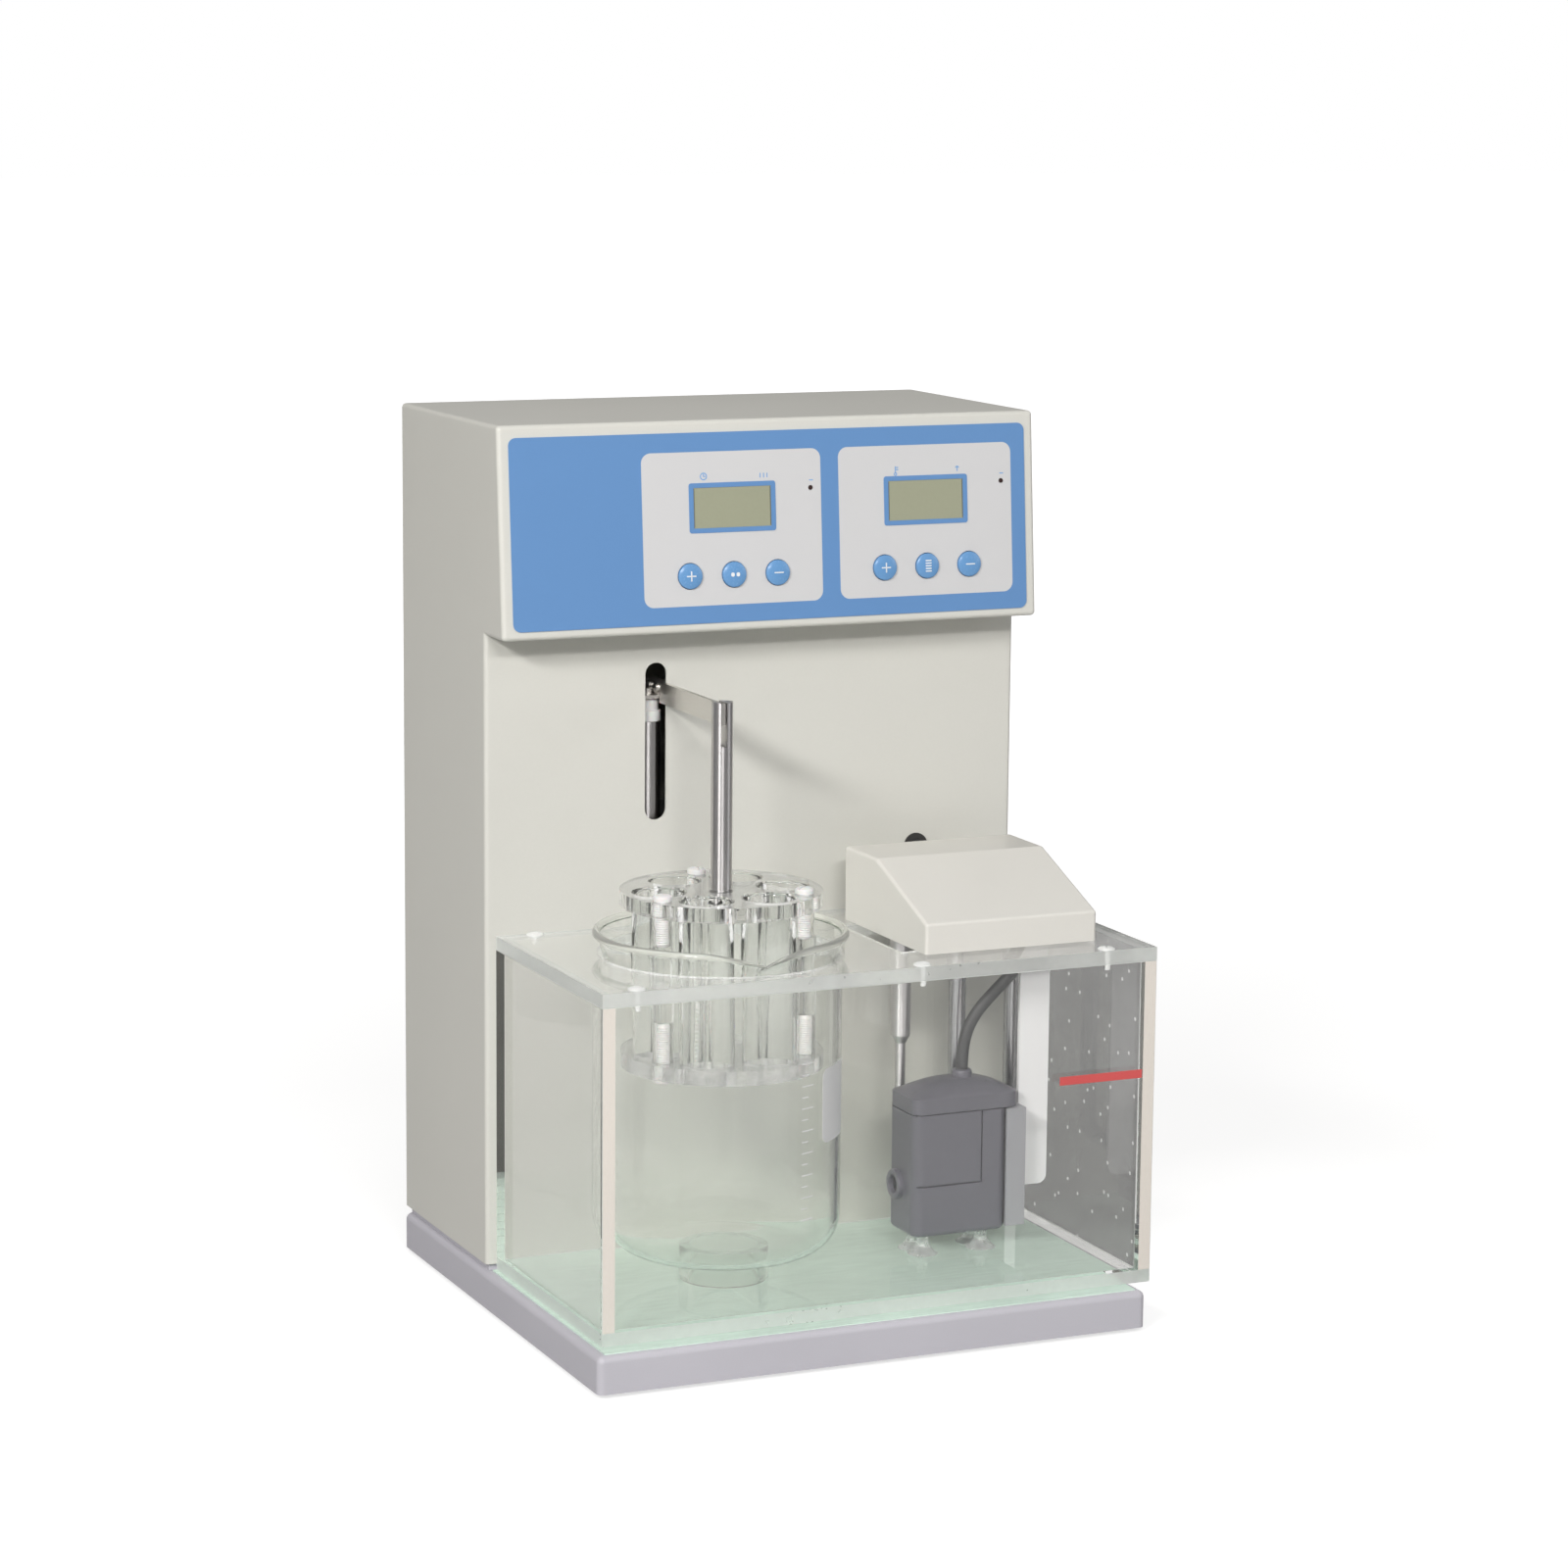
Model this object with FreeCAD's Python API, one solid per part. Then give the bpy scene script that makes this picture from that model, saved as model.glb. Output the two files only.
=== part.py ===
import FreeCAD, Part
import math
import os

# Tablet disintegration tester: a folded sheet-metal housing with a control
# head, a clear water bath in front of it, and a basket of glass tubes that a
# crank raises and lowers in a beaker. Millimetres, +Z up, front faces -Y,
# origin at the bottom centre of the whole instrument.

V = FreeCAD.Vector

# Overrun of cutting solids past the faces that they cut
over = 2.0

# Base tray
base_w = 264.0
base_d = 251.0
base_h = 16.8
plinth_h = 3.1
plinth_inset = 2.0
base_sheet = 1.5
base_edge_r = 3.0
base_plate_t = 1.2
base_plate_gap = 0.4

# Rubber feet, their screws and the spacers above them
foot_h = 2.0
foot_r = 8.0
foot_inset = 15.0
foot_recess = 1.2
foot_screw_r = 1.5
foot_screw_head_r = 3.0
foot_screw_head_h = 1.0
foot_screw_len = 9.0
spacer_r = 5.0

# Reach of the rear fittings past the base
rear_reach = 3.0

# Housing of the column and the head
house_side_in = 1.0
column_d = 110.0
house_h = 382.0
sheet = 1.2
bend_r = 2.0
head_h = 94.1
head_out_low = 23.3
head_out_high = 15.8
flange_w = 12.0

# Screws between the housing and the base
house_screw_r = 2.0
house_screw_head_r = 3.6
house_screw_head_h = 2.4
house_screw_up = 6.0
house_screw_inset = 22.0

# Rear cover, its screws and its vents
rear_cover_t = 1.2
rear_gap = 0.4
rear_screw_r = 1.5
rear_screw_head_r = 2.8
rear_screw_head_h = 1.8
rear_screw_len = 7.0
rear_screw_rows = 3
vent_w = 60.0
vent_h = 3.0
vent_pitch = 8.0
vent_count = 8
vent_low = 228.0

# Film on the head: blue field, two pale windows and display glasses
film_t = 0.5
film_w = 252.0
film_h = 85.0
film_low = 4.0
film_corner_r = 3.5
window_w = 87.0
window_h = 68.5
window_low = 11.9
window_corner_r = 4.5
window_left_x = -20.4
window_right_x = 75.4
glass_w = 38.0
glass_h = 18.4
glass_mid = 55.4
glass_front = 0.2
glass_fit = 0.2
glass_room = 0.6

# Display modules behind the glasses
module_w = 48.0
module_h = 28.0
module_t = 4.0

# Push buttons
button_r = 5.7
button_fit = 0.3
button_up = 1.1
button_dome = 0.7
button_pitch = 21.3
button_high = 25.3
button_flange_r = 6.9
button_flange_t = 0.9
button_back_gap = 0.1
button_stem_r = 1.5
button_travel = 0.5
button_end_gap = 0.1

# Indicator lamps
lamp_r = 1.0
lamp_fit = 0.15
lamp_up = 0.2
lamp_right = 38.4
lamp_high = 62.8

# Control board behind the head's face
board_t = 1.6
board_gap = 8.0
board_w = 206.0
board_h = 74.0
board_low = 9.0
board_x = 20.0
standoff_r = 3.0
standoff_inset = 5.0
board_screw_r = 1.4
board_screw_head_r = 2.6
board_screw_head_h = 1.6
board_screw_len = 5.0
switch_w = 6.0
switch_t = 3.0
plunger_r = 1.7

# Slot in the column and the stroke of the lift
slot_left = 49.0
slot_w = 10.4
slot_len = 72.0
slot_low = 199.8
stroke = 55.0
lift_below_top = 5.5
slot_end_room = 3.7

# Lift shaft, its nylon collar and the bracket that holds the arm
shaft_r = 6.0
shaft_back = 10.0
shaft_len = 199.0
collar_low_r = 6.0
collar_high_r = 5.0
collar_step_h = 5.0
collar_h = 11.0
shaft_neck_r = 3.0
bracket_t = 1.5
bracket_w = 15.0
bracket_d = 15.0
bracket_up_t = 2.4
bracket_screw_head_r = 2.5
bracket_screw_head_h = 2.2
bracket_screw_len = 12.0
bracket_screw_r = 1.5

# Arm that carries the basket
arm_t = 2.0
arm_h = 9.5
arm_right = 3.6
arm_past_pin = 3.6
arm_tail_h = 6.0
arm_screw_r = 1.2
arm_screw_head_r = 2.1
arm_screw_head_h = 1.0
arm_screw_pitch = 9.0

# Suspension rod and its cross pin
rod_left = 44.4
rod_out = 65.4
rod_r = 4.75
rod_above_arm = 0.5
rod_slot_w = 2.8
rod_slot_depth = 19.5
rod_slot_shift = 1.0
pin_r = 1.5
pin_below_top = 4.8
pin_fit = 0.1
rod_stub_r = 3.0
hub_nut_r = 6.0
hub_nut_h = 5.0

# Basket: discs, mesh, tubes, posts and nylon screws
disc_r = 45.0
disc_t = 6.6
disc_below_arm = 82.9
basket_h = 78.0
tube_r = 12.05
tube_wall = 1.3
tube_len = 77.5
tube_fit = 0.2
tube_ring_r = 28.5
tube_count = 6
tube_start_deg = -6.0
post_r = 4.5
post_ring_r = 37.5
post_count = 3
post_start_deg = -36.0
nylon_r = 3.0
nylon_head_r = 4.2
nylon_head_h = 3.0
nylon_low_head_h = 2.0
nylon_fit = 0.05
nylon_top_len = 20.2
nylon_low_len = 24.8
mesh_r = 43.0
mesh_t = 0.6
mesh_pitch = 2.8
mesh_hole = 2.1

# Beaker and the clear ring that it stands on
beaker_r = 53.0
beaker_wall = 2.2
beaker_h = 145.0
beaker_corner_r = 17.0
beaker_rim_r = 57.3
beaker_flare_h = 9.0
spout_deg = -95.0
spout_reach = 66.5
spout_tip_r = 2.5
spout_drop = 6.5
beaker_seat_gap = 0.2
ring_left = 43.0
ring_r = 20.15
ring_wall = 4.5
ring_h = 13.5

# Clear water bath on its green mat
mat_t = 0.5
mat_side = 4.0
mat_front = 3.0
tank_w = 266.0
tank_left = 126.0
tank_d = 129.5
tank_h = 154.4
tank_wall = 6.0
hole_r = 54.5
cutout_left = 29.0
cutout_w = 89.0
cutout_front = 97.0
cutout_d = 64.2

# Nylon screws of the bath's lid
lid_screw_r = 1.25
lid_screw_head_r = 3.9
lid_screw_head_h = 1.6
lid_screw_len = 18.0
lid_screw_inset = 4.0
lid_screw_left_in = 17.2
lid_screw_right_in = 23.7
lid_screw_by_cutout = 3.6

# Heater cover and the plate under it
cover_left = 36.0
cover_w = 85.0
cover_back = 21.3
cover_d = 86.0
cover_h = 34.0
cover_flat_d = 33.0
cover_front_h = 13.6
cover_wall = 2.0
cover_edge_r = 1.6
notch_w = 12.0
notch_h = 28.0
carrier_t = 3.0
carrier_gap = 0.5

# Heater, probe and strip that hang from the carrier plate
hang_out = 38.0
heater_x = 99.4
heater_leg_gap = 28.6
heater_r = 4.0
heater_low = 35.7
heater_head_d = 12.0
heater_head_h = 7.4
heater_head_over = 3.0
probe_x = 56.4
probe_r = 4.5
probe_step_below = 52.0
probe_cone = 4.0
probe_tip_r = 2.35
probe_len = 118.0
probe_nut_r = 7.0
probe_nut_h = 6.0
strip_x = 110.3
strip_out = 66.0
strip_w = 15.0
strip_t = 2.0
strip_len = 121.0
strip_corner_r = 4.2
strip_tab = 9.0
strip_screw_r = 1.2
strip_screw_head_r = 2.2
strip_screw_head_h = 1.4
hang_fit = 0.1

# Circulation pump
pump_left = 46.5
pump_w = 47.5
pump_front_out = 75.0
pump_d = 28.0
pump_low = 9.7
pump_h = 57.0
pump_corner_r = 4.5
pump_cap_h = 7.4
pump_cap_over = 5.5
pump_dome_h = 6.6
pump_seam = 0.5
pump_seam_up = 23.5
pump_seam_x = 33.5
grille_w = 8.0
grille_proud = 1.6
grille_low = 2.0
grille_h = 55.0
grille_inset = 1.5
grille_edge_r = 1.0
outlet_out = 57.5
outlet_up = 22.0
outlet_r = 6.8
outlet_bore_r = 4.2
outlet_len = 2.6
outlet_depth = 6.0
cup_r = 8.5
cup_neck_r = 2.6
cup_inset = 9.0

# Leads: pump lead and the trunk lead to the housing
lead_r = 2.8
pump_lead_x = 76.6
pump_lead_out = 61.0
lead_gland_r = 4.6
lead_gland_h = 3.0
terminal_w = 34.0
terminal_d = 15.0
terminal_h = 13.0
terminal_x = 95.0
terminal_out = 68.0
lead_entry = 3.3
grommet_x = 82.0
grommet_high = 27.6
grommet_r = 5.8
grommet_neck_r = 4.9
grommet_flange_t = 0.9
lead_fit = 0.1
plug_w = 14.0
plug_h = 14.0
plug_d = 10.0

# Power board on the back of the column's face
power_board_w = 92.0
power_board_h = 110.0
power_board_back = 26.0
power_board_x = 74.0
power_board_top_over = 16.0
relay_w = 16.0
relay_h = 20.0
relay_d = 15.0
relay_pitch = 24.0
capacitor_r = 6.0
capacitor_len = 20.0
capacitor_pitch = 20.0

# Transformer on the base
transformer_from_side = 51.0
transformer_back = 58.0
transformer_w = 58.0
transformer_d = 32.0
transformer_h = 50.0
coil_d = 46.0
coil_margin = 9.0
transformer_foot_w = 76.0
transformer_foot_t = 1.5
transformer_screw_r = 2.0
transformer_screw_head_r = 3.6
transformer_screw_head_h = 2.4

# Lift drive: plate, guides, crank, yoke and gear motor
plate_back = 33.0
plate_t = 2.5
plate_w = 108.0
plate_h = 203.0
plate_foot_d = 24.0
plate_screw_r = 2.0
plate_screw_head_r = 3.6
plate_screw_head_h = 2.4
guide_w = 26.0
guide_h = 16.0
guide_front = 2.5
guide_fit = 0.05
guide_low = 66.0
guide_high = 177.0
guide_screw_r = 1.7
guide_screw_head_r = 3.0
guide_screw_head_h = 1.8
guide_screw_inset = 4.5
crank_high = 128.0
crank_r = 36.0
crank_t = 6.0
crank_front = 24.0
crank_hub_r = 9.0
crank_hub_t = 2.5
crank_rest_deg = 56.0
roller_r = 6.0
roller_t = 4.6
roller_fit = 0.05
crank_pin_r = 2.5
crank_pin_head_r = 4.0
crank_pin_head_t = 1.0
yoke_t = 5.0
yoke_rim = 5.0
yoke_room = 2.2
yoke_end_room = 1.0
yoke_hub_w = 20.0
output_r = 4.0
output_fit = 0.05
gearbox_w = 60.0
gearbox_t = 28.0
gearbox_corner_r = 6.0
motor_r = 25.0
motor_len = 38.0
motor_screw_r = 2.0
motor_screw_head_r = 3.5
motor_screw_head_h = 2.0
motor_screw_inset = 7.0

# Mains inlet, fuse holder and rocker switch on the rear cover
inlet_x = 62.0
inlet_high = 42.0
inlet_w = 27.0
inlet_h = 19.6
inlet_depth = 20.0
inlet_flange_w = 50.0
inlet_flange_h = 23.0
inlet_bay_w = 22.4
inlet_bay_h = 15.0
inlet_bay_depth = 16.0
inlet_wall_fit = 0.2
inlet_pin_w = 1.8
inlet_pin_h = 4.0
inlet_pin_len = 12.0
inlet_pin_pitch = 7.0
inlet_screw_pitch = 40.0
fuse_x = 18.0
fuse_r = 6.0
fuse_len = 28.0
fuse_flange_r = 9.0
fuse_flange_t = 2.0
fuse_cap_r = 6.4
fuse_cap_t = 0.9
fuse_slot_w = 1.4
fuse_nut_r = 9.0
fuse_nut_t = 3.0
rocker_x = 102.0
rocker_frame_w = 15.0
rocker_frame_h = 21.0
rocker_frame_t = 1.6
rocker_body_w = 12.8
rocker_body_h = 19.2
rocker_body_depth = 16.0
rocker_wall = 1.2
rocker_w = 9.6
rocker_h = 15.0
rocker_deg = 7.0
rocker_depth = 5.0
rocker_pin_r = 1.0
rocker_pin_fit = 0.06
rocker_out = 0.45

# Datum planes worked out from the sizes above
left_reach = max(base_w / 2, tank_left)
right_reach = max(base_w / 2, tank_w - tank_left)
house_cx = (left_reach - right_reach) / 2
base_cy = -rear_reach / 2
base_x0 = house_cx - base_w / 2
base_x1 = house_cx + base_w / 2
base_y0 = base_cy - base_d / 2
base_y1 = base_cy + base_d / 2
base_z0 = foot_h
base_z1 = foot_h + base_h
house_x0 = base_x0 + house_side_in
house_x1 = base_x1 - house_side_in
deck_z = base_z1 + plinth_h
house_z1 = deck_z + house_h
col_y = base_y1 - column_d
col_in_y = col_y + sheet
head_z = house_z1 - head_h
cover_in_y = base_y1 - rear_cover_t
flange_y0 = cover_in_y - sheet
tank_x0 = house_cx - tank_left
tank_x1 = tank_x0 + tank_w
tank_y0 = col_y - tank_d
tank_z0 = base_z1 + mat_t
tank_z1 = tank_z0 + tank_h
tank_floor_z = tank_z0 + tank_wall
lid_z0 = tank_z1 - tank_wall
slot_x = house_cx - slot_left
slot_z0 = deck_z + slot_low
slot_z1 = slot_z0 + slot_len
shaft_y = col_y + shaft_back
arm_x = slot_x + arm_right
arm_top = slot_z1 - slot_end_room - lift_below_top
arm_low = arm_top - arm_h
rod_x = house_cx - rod_left
rod_y = col_y - rod_out

parts = {}


def box(xs, ys, zs):
    """A block between two planes on each axis."""
    return Part.makeBox(xs[1] - xs[0], ys[1] - ys[0], zs[1] - zs[0], V(xs[0], ys[0], zs[0]))


def span(centre, width):
    """The two ends of a width about its centre."""
    return (centre - width / 2, centre + width / 2)


def rod_along_x(y, z, r, x0, x1):
    return Part.makeCylinder(r, x1 - x0, V(x0, y, z), V(1, 0, 0))


def rod_along_y(x, z, r, y0, y1):
    return Part.makeCylinder(r, y1 - y0, V(x, y0, z), V(0, 1, 0))


def rod_along_z(x, y, r, z0, z1):
    return Part.makeCylinder(r, z1 - z0, V(x, y, z0), V(0, 0, 1))


def prism_x(points, x0, x1):
    """A side outline of (y, z) points drawn out along X."""
    loop = [V(x0, y, z) for y, z in points]
    return Part.Face(Part.makePolygon(loop + loop[:1])).extrude(V(x1 - x0, 0, 0))


def rounded_plate(x, y, w, h, r, z0, z1):
    """An upright-cornered plate, rounded in plan, about a centre."""
    plate = box(span(x, w), span(y, h), (z0, z1))
    thin = (z1 - z0) / 2
    upright = edges_where(plate, lambda b: b.XLength < thin and b.YLength < thin)
    return plate.makeFillet(r, upright)


def slot_along_z(x, w, y0, y1, z0, z1):
    """A round-ended slot standing up, cut through along Y."""
    r = w / 2
    body = box(span(x, w), (y0, y1), (z0 + r, z1 - r))
    low = rod_along_y(x, z0 + r, r, y0, y1)
    high = rod_along_y(x, z1 - r, r, y0, y1)
    return body.fuse([low, high]).removeSplitter()


def edges_where(shape, test):
    return [e for e in shape.Edges if test(e.BoundBox)]


def circle_points(radius, count, start_deg, x, y):
    """Centres spread evenly round a circle."""
    spots = []
    for k in range(count):
        a = math.radians(start_deg) + 2 * math.pi * k / count
        spots.append((x + radius * math.cos(a), y + radius * math.sin(a)))
    return spots


def keep(name, *shapes):
    """Add solids to a node; like pieces share one node as separate solids."""
    for shape in shapes:
        parts.setdefault(name, []).extend(shape.Solids)


# Head panel frame: x to the right, y up the leaning face, z out of it
lean = math.atan2(head_out_low - head_out_high, head_h)
panel_turn = FreeCAD.Rotation(V(1, 0, 0), 90 - math.degrees(lean))
panel_place = FreeCAD.Placement(V(house_cx, col_y - head_out_low, head_z), panel_turn)


def on_panel(shape):
    """Carry a shape from the panel's own frame to the instrument's."""
    return shape.transformed(panel_place.Matrix, True)


def window_centres():
    return (window_left_x, window_right_x)


button_spots = [(w + k * button_pitch, button_high) for w in window_centres() for k in (-1, 0, 1)]
lamp_spots = [(w + lamp_right, lamp_high) for w in window_centres()]


def panel_openings(glass_extra, z0, z1):
    """Cutters for the glasses, the buttons and the lamps."""
    cuts = []
    for w in window_centres():
        size = (glass_w + glass_extra, glass_h + glass_extra)
        cuts.append(box(span(w, size[0]), span(glass_mid, size[1]), (z0, z1)))
    for x, y in button_spots:
        cuts.append(rod_along_z(x, y, button_r + button_fit, z0, z1))
    for x, y in lamp_spots:
        cuts.append(rod_along_z(x, y, lamp_r + lamp_fit, z0, z1))
    return cuts


# Base: folded tray, closing plate, spacers, feet and their screws
def make_base():
    tray = box((base_x0, base_x1), (base_y0, base_y1), (base_z0, base_z1))
    keep_low = base_z0 + base_edge_r
    rounds = edges_where(tray, lambda b: b.ZMax > keep_low)
    tray = tray.makeFillet(base_edge_r, rounds)
    inside_x = (base_x0 + base_sheet, base_x1 - base_sheet)
    inside_y = (base_y0 + base_sheet, base_y1 - base_sheet)
    plinth_x = (house_x0 + plinth_inset, house_x1 - plinth_inset)
    plinth_y = (col_y + plinth_inset, base_y1 - plinth_inset)
    tray = tray.fuse(box(plinth_x, plinth_y, (base_z1 - base_sheet, deck_z)))
    tray = tray.cut(box(inside_x, inside_y, (base_z0 - over, base_z1 - base_sheet)))
    hollow_x = (plinth_x[0] + base_sheet, plinth_x[1] - base_sheet)
    hollow_y = (plinth_y[0] + base_sheet, plinth_y[1] - base_sheet)
    tray = tray.cut(box(hollow_x, hollow_y, (base_z0, deck_z - base_sheet)))
    for x, y in house_screw_spots():
        tray = tray.cut(rod_along_z(x, y, house_screw_r, base_z0, deck_z + over))
    for x, y, r in base_fixings():
        tray = tray.cut(rod_along_z(x, y, r, base_z0, deck_z + over))
    keep("base_tray", tray)

    gap = base_plate_gap
    plate_x = (inside_x[0] + gap, inside_x[1] - gap)
    plate_y = (inside_y[0] + gap, inside_y[1] - gap)
    plate_top = base_z0 + base_plate_t
    plate = box(plate_x, plate_y, (base_z0, plate_top))
    spots = foot_spots()
    for x, y in spots:
        plate = plate.cut(rod_along_z(x, y, foot_screw_r, base_z0 - over, plate_top + over))
    keep("base_plate", plate)

    feet, screws, spacers = [], [], []
    for x, y in spots:
        foot = rod_along_z(x, y, foot_r, 0, foot_h)
        foot = foot.cut(rod_along_z(x, y, foot_screw_r, 0, foot_h))
        foot = foot.cut(rod_along_z(x, y, foot_screw_head_r, 0, foot_recess))
        feet.append(foot)
        head = rod_along_z(x, y, foot_screw_head_r, foot_recess - foot_screw_head_h, foot_recess)
        shank = rod_along_z(x, y, foot_screw_r, foot_recess, foot_recess + foot_screw_len)
        screws.append(head.fuse(shank))
        tray_top = deck_z if y > col_y else base_z1
        spacer = rod_along_z(x, y, spacer_r, plate_top, tray_top - base_sheet)
        bore_top = foot_recess + foot_screw_len
        spacers.append(spacer.cut(rod_along_z(x, y, foot_screw_r, plate_top, bore_top)))
    keep("rubber_feet", *feet)
    keep("machine_screws", *screws)
    keep("standoffs", *spacers)

    mat_x = (base_x0 + mat_side, base_x1 - mat_side)
    keep("tank_mat", box(mat_x, (base_y0 + mat_front, col_y), (base_z1, tank_z0)))


def foot_spots():
    xs = (base_x0 + foot_inset, base_x1 - foot_inset)
    ys = (base_y0 + foot_inset, base_y1 - foot_inset)
    return [(x, y) for x in xs for y in ys]


def house_screw_spots():
    side = sheet + flange_w / 2
    xs = (house_x0 + side, house_x1 - side)
    ys = (col_y + house_screw_inset, base_y1 - house_screw_inset)
    return [(x, y) for x in xs for y in ys]


def base_fixings():
    """Holes in the base for the drive plate's foot and the transformer."""
    holes = [(x, y, plate_screw_r) for x, y in plate_screw_spots()]
    return holes + [(x, y, transformer_screw_r) for x, y in transformer_screw_spots()]


# Housing: one welded shell of folded sheet, open below and behind
def house_outline(inset):
    """Side outline; an inset draws it in by the sheet and opens it out."""
    face_inset = inset / math.cos(lean)
    rise = head_h
    per_rise = (head_out_low - head_out_high) / rise
    low_z = head_z + inset
    high_z = house_z1 - inset
    low_y = col_y - head_out_low + per_rise * (low_z - head_z) + face_inset
    high_y = col_y - head_out_low + per_rise * (high_z - head_z) + face_inset
    past = over if inset else 0
    front_y = col_y + inset
    return [
        (front_y, deck_z - past),
        (front_y, low_z),
        (low_y, low_z),
        (high_y, high_z),
        (base_y1 + past, high_z),
        (base_y1 + past, deck_z - past),
    ]


def make_housing():
    shell = prism_x(house_outline(0), house_x0, house_x1)
    near = sheet / 2

    def bend(b):
        on_side = b.XLength < near
        at_back = b.YMin > base_y1 - near
        at_floor = b.ZMax < deck_z + near
        inner_fold = b.XLength > near and b.YMax < col_y + near and b.ZMax < head_z + near
        inner_fold = inner_fold and b.YMin > col_y - near
        top_back = b.XLength > near and at_back
        return not (at_back or at_floor or inner_fold or top_back) and (on_side or b.ZMin > deck_z)

    shell = shell.makeFillet(bend_r, edges_where(shell, bend))
    shell = shell.cut(prism_x(house_outline(sheet), house_x0 + sheet, house_x1 - sheet))

    inner_x = (house_x0 + sheet, house_x1 - sheet)
    inner_z = (deck_z, house_z1 - sheet)
    rim = box(inner_x, (flange_y0, cover_in_y), inner_z)
    hole_x = (inner_x[0] + flange_w, inner_x[1] - flange_w)
    hole_z = (inner_z[0] + flange_w, inner_z[1] - flange_w)
    rim = rim.cut(box(hole_x, (flange_y0 - over, cover_in_y + over), hole_z))
    foot_z = (deck_z, deck_z + sheet)
    left_foot = box((inner_x[0], hole_x[0]), (col_in_y, flange_y0), foot_z)
    right_foot = box((hole_x[1], inner_x[1]), (col_in_y, flange_y0), foot_z)
    shell = shell.fuse([rim, left_foot, right_foot])

    shell = shell.cut(slot_along_z(slot_x, slot_w, col_y - over, col_in_y + over, slot_z0, slot_z1))
    x, z = house_cx + grommet_x, tank_z1 + grommet_high
    shell = shell.cut(rod_along_y(x, z, grommet_neck_r, col_y - over, col_in_y + over))
    shell = shell.cut([on_panel(c) for c in panel_openings(glass_room, -sheet - over, over)])
    for x, y in house_screw_spots():
        shell = shell.cut(rod_along_z(x, y, house_screw_r, deck_z - over, deck_z + sheet + over))
    for x, z in rear_screw_spots():
        shell = shell.cut(rod_along_y(x, z, rear_screw_r, flange_y0 - over, cover_in_y + over))
    keep("housing_shell", shell.removeSplitter())

    screws = []
    under = deck_z - base_sheet
    for x, y in house_screw_spots():
        head = rod_along_z(x, y, house_screw_head_r, under - house_screw_head_h, under)
        screws.append(head.fuse(rod_along_z(x, y, house_screw_r, under, under + house_screw_up)))
    keep("machine_screws", *screws)


# Rear cover with vents, screws and cut-outs for the mains fittings
def rear_screw_spots():
    side = sheet + flange_w / 2
    xs = (house_x0 + side, house_x1 - side)
    low = deck_z + flange_w
    step = (house_z1 - deck_z - 2 * flange_w) / (rear_screw_rows - 1)
    return [(x, low + k * step) for x in xs for k in range(rear_screw_rows)]


def make_rear_cover():
    gap = sheet + rear_gap
    cover_x = (house_x0 + gap, house_x1 - gap)
    cover_z = (deck_z + rear_gap, house_z1 - gap)
    cover = box(cover_x, (cover_in_y, base_y1), cover_z)
    cut_y = (cover_in_y - over, base_y1 + over)
    for k in range(vent_count):
        z = deck_z + vent_low + k * vent_pitch
        for side in (-1, 1):
            x = house_cx + side * vent_w * 2 / 3
            r = vent_h / 2
            core = box(span(x, vent_w - vent_h), cut_y, span(z, vent_h))
            ends = [rod_along_y(e, z, r, *cut_y) for e in span(x, vent_w - vent_h)]
            cover = cover.cut(core.fuse(ends))
    for x, z in rear_screw_spots():
        cover = cover.cut(rod_along_y(x, z, rear_screw_r, *cut_y))
    x, z = house_cx + inlet_x, deck_z + inlet_high
    fit = inlet_wall_fit
    cover = cover.cut(box(span(x, inlet_w + 2 * fit), cut_y, span(z, inlet_h + 2 * fit)))
    for sx in span(x, inlet_screw_pitch):
        cover = cover.cut(rod_along_y(sx, z, rear_screw_r, *cut_y))
    cover = cover.cut(rod_along_y(house_cx + fuse_x, z, fuse_r + fit, *cut_y))
    x = house_cx + rocker_x
    body = (rocker_body_w + 2 * fit, rocker_body_h + 2 * fit)
    cover = cover.cut(box(span(x, body[0]), cut_y, span(z, body[1])))
    keep("rear_cover", cover)

    screws = []
    for x, z in rear_screw_spots():
        head = rod_along_y(x, z, rear_screw_head_r, base_y1, base_y1 + rear_screw_head_h)
        shank = rod_along_y(x, z, rear_screw_r, base_y1 - rear_screw_len, base_y1)
        screws.append(head.fuse(shank))
    keep("machine_screws", *screws)


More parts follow.
